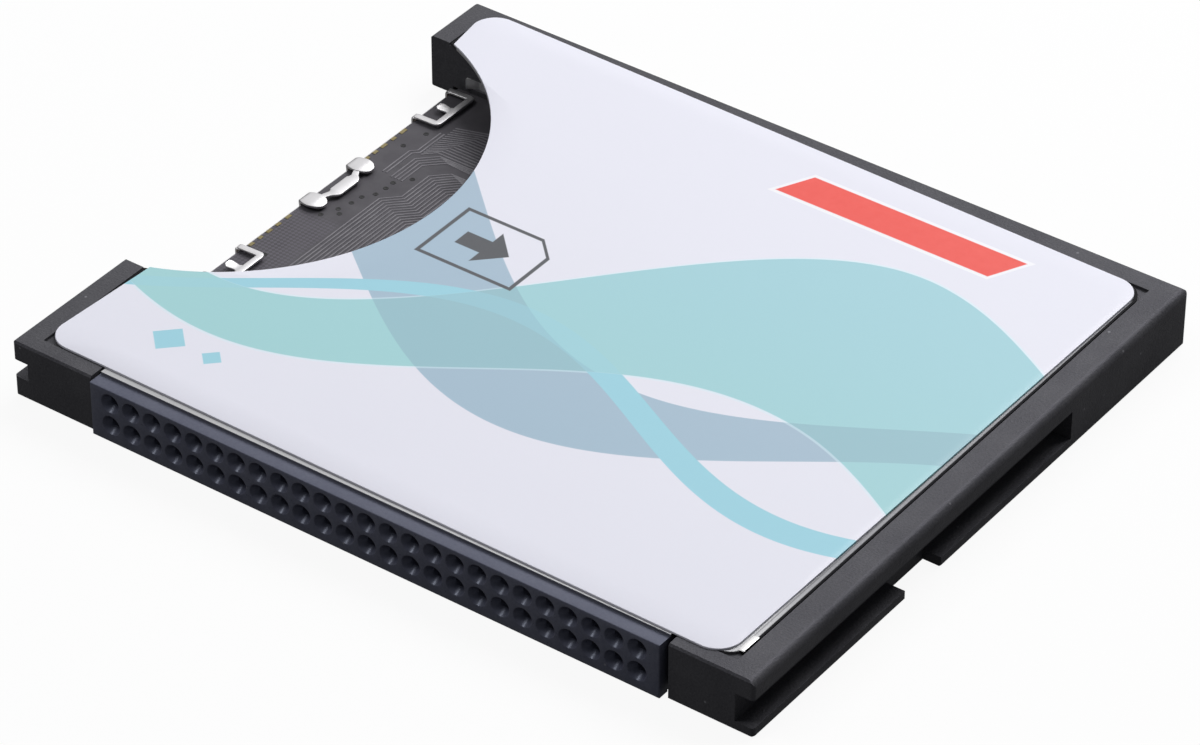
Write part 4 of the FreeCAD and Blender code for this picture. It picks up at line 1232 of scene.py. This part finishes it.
class ADAPTER_OT_stage(bpy.types.Operator):
    """Set the floor, the lights and the camera"""

    bl_idname = "adapter.stage"
    bl_label = "Stage"

    def execute(self, context):
        sizes = context.scene.adapter_stage
        scene = context.scene
        scene.view_settings.view_transform = "Standard"
        self.floor()
        self.sky(scene, sizes.world)
        self.lamp("key_light", (0.02, 0.19, 0.235), 0.2, sizes.key_power)
        self.lamp("sheen_light", (-0.38, 0.52, 0.48), 0.9, sizes.sheen_power)
        self.lamp("fill_light", (-0.24, -0.17, 0.42), 0.16, sizes.fill_power)
        camera_data = bpy.data.cameras.new("camera")
        camera = bpy.data.objects.new("camera", camera_data)
        scene.collection.objects.link(camera)
        camera_data.sensor_fit = "HORIZONTAL"
        camera_data.sensor_width = 36.0
        camera_data.lens = sizes.lens
        camera_data.clip_start = 0.01
        camera_data.clip_end = 20.0
        # The place, in millimetres, and the axes were fitted to edges of known size
        place = Vector((127.135, -174.604, 160.948)) * MM
        ahead = Vector((-0.472319, 0.647495, -0.598051)).normalized()
        across = Vector((0.807547, 0.589803, 0.000794)).normalized()
        turn = Matrix((across, across.cross(ahead), -ahead)).transposed().to_4x4()
        camera.matrix_world = Matrix.Translation(place) @ turn
        scene.camera = camera
        return {"FINISHED"}

    @staticmethod
    def lamp(name, place, size, power):
        """A round area light that looks at the adapter's middle."""
        data = bpy.data.lights.new(name, "AREA")
        data.shape = "DISK"
        data.size = size
        data.energy = power
        lamp = bpy.data.objects.new(name, data)
        bpy.context.scene.collection.objects.link(lamp)
        turn = (-Vector(place)).to_track_quat("-Z", "Y").to_matrix().to_4x4()
        lamp.matrix_world = Matrix.Translation(place) @ turn

    @staticmethod
    def floor():
        """A wide pale plane under the adapter: white and shadowed to the camera, dimmer to bounced light."""
        half, level = 3.0, -2e-5
        corners = [(-half, -half, level), (half, -half, level), (half, half, level), (-half, half, level)]
        mesh = bpy.data.meshes.new("floor")
        mesh.from_pydata(corners, [], [(0, 1, 2, 3)])
        floor = bpy.data.objects.new("floor", mesh)
        bpy.context.scene.collection.objects.link(floor)
        r = Recipe("floor_white")
        tone = r.noise(0.004, 2.0)
        path = r.make("ShaderNodeLightPath", output=None)
        camera, gloss, glass = (
            Term(r, path.outputs[ray]) for ray in ("Is Camera Ray", "Is Glossy Ray", "Is Transmission Ray")
        )
        white = r.make("ShaderNodeEmission", {}, {"Color": (1.0, 1.0, 1.0, 1.0), "Strength": 1.0})
        pale, dim = (
            r.make("ShaderNodeBsdfDiffuse", {}, {"Color": r.shade(tone, 0.01, (grey, grey, grey))})
            for grey in (0.8, 0.12)
        )
        bounced = r.mix_shaders(r.high(gloss, glass) * 0.12, dim, white)
        seen = r.mix_shaders(0.92, pale, white)
        mesh.materials.append(r.finish(r.mix_shaders(camera, bounced, seen)))

    @staticmethod
    def sky(scene, strength):
        """Even pale light, seen as white by the camera."""
        scene.world = bpy.data.worlds.new("sky")
        graph = Graph(scene.world)
        camera = graph.make("ShaderNodeLightPath", output="Is Camera Ray")
        dim, white = (
            graph.make("ShaderNodeBackground", {}, {"Color": colour, "Strength": power})
            for colour, power in (((0.93, 0.95, 1.0, 1.0), strength), ((1.0, 1.0, 1.0, 1.0), 1.0))
        )
        graph.finish(graph.mix_shaders(camera, dim, white), "ShaderNodeOutputWorld")


OPERATORS = (
    ADAPTER_OT_case, ADAPTER_OT_label, ADAPTER_OT_socket, ADAPTER_OT_socket_contacts,
    ADAPTER_OT_card_contacts, ADAPTER_OT_lower_cover, ADAPTER_OT_board, ADAPTER_OT_small_parts,
    ADAPTER_OT_stage,
)


class ADAPTER_PT_panel(bpy.types.Panel):
    """Lists the adapter's pieces and their settings"""

    bl_label = "Card adapter"
    bl_idname = "ADAPTER_PT_panel"
    bl_space_type = "VIEW_3D"
    bl_region_type = "UI"
    bl_category = "Adapter"

    def draw(self, context):
        for operator in OPERATORS:
            self.layout.operator(operator.bl_idname)
        for name, group in SETTINGS.items():
            box = self.layout.box()
            box.label(text=group.__doc__.rstrip("."))
            for field in group.__annotations__:
                box.prop(getattr(context.scene, name), field)


def register():
    for group in SETTINGS.values():
        bpy.utils.register_class(group)
    for name, group in SETTINGS.items():
        setattr(bpy.types.Scene, name, PointerProperty(type=group))
    for operator in OPERATORS:
        bpy.utils.register_class(operator)
    bpy.utils.register_class(ADAPTER_PT_panel)


def unregister():
    bpy.utils.unregister_class(ADAPTER_PT_panel)
    for operator in reversed(OPERATORS):
        bpy.utils.unregister_class(operator)
    for name in SETTINGS:
        delattr(bpy.types.Scene, name)
    for group in reversed(list(SETTINGS.values())):
        bpy.utils.unregister_class(group)


def main():
    register()
    for operator in OPERATORS:
        family, name = operator.bl_idname.split(".")
        getattr(getattr(bpy.ops, family), name)()


if __name__ == "__main__":
    main()
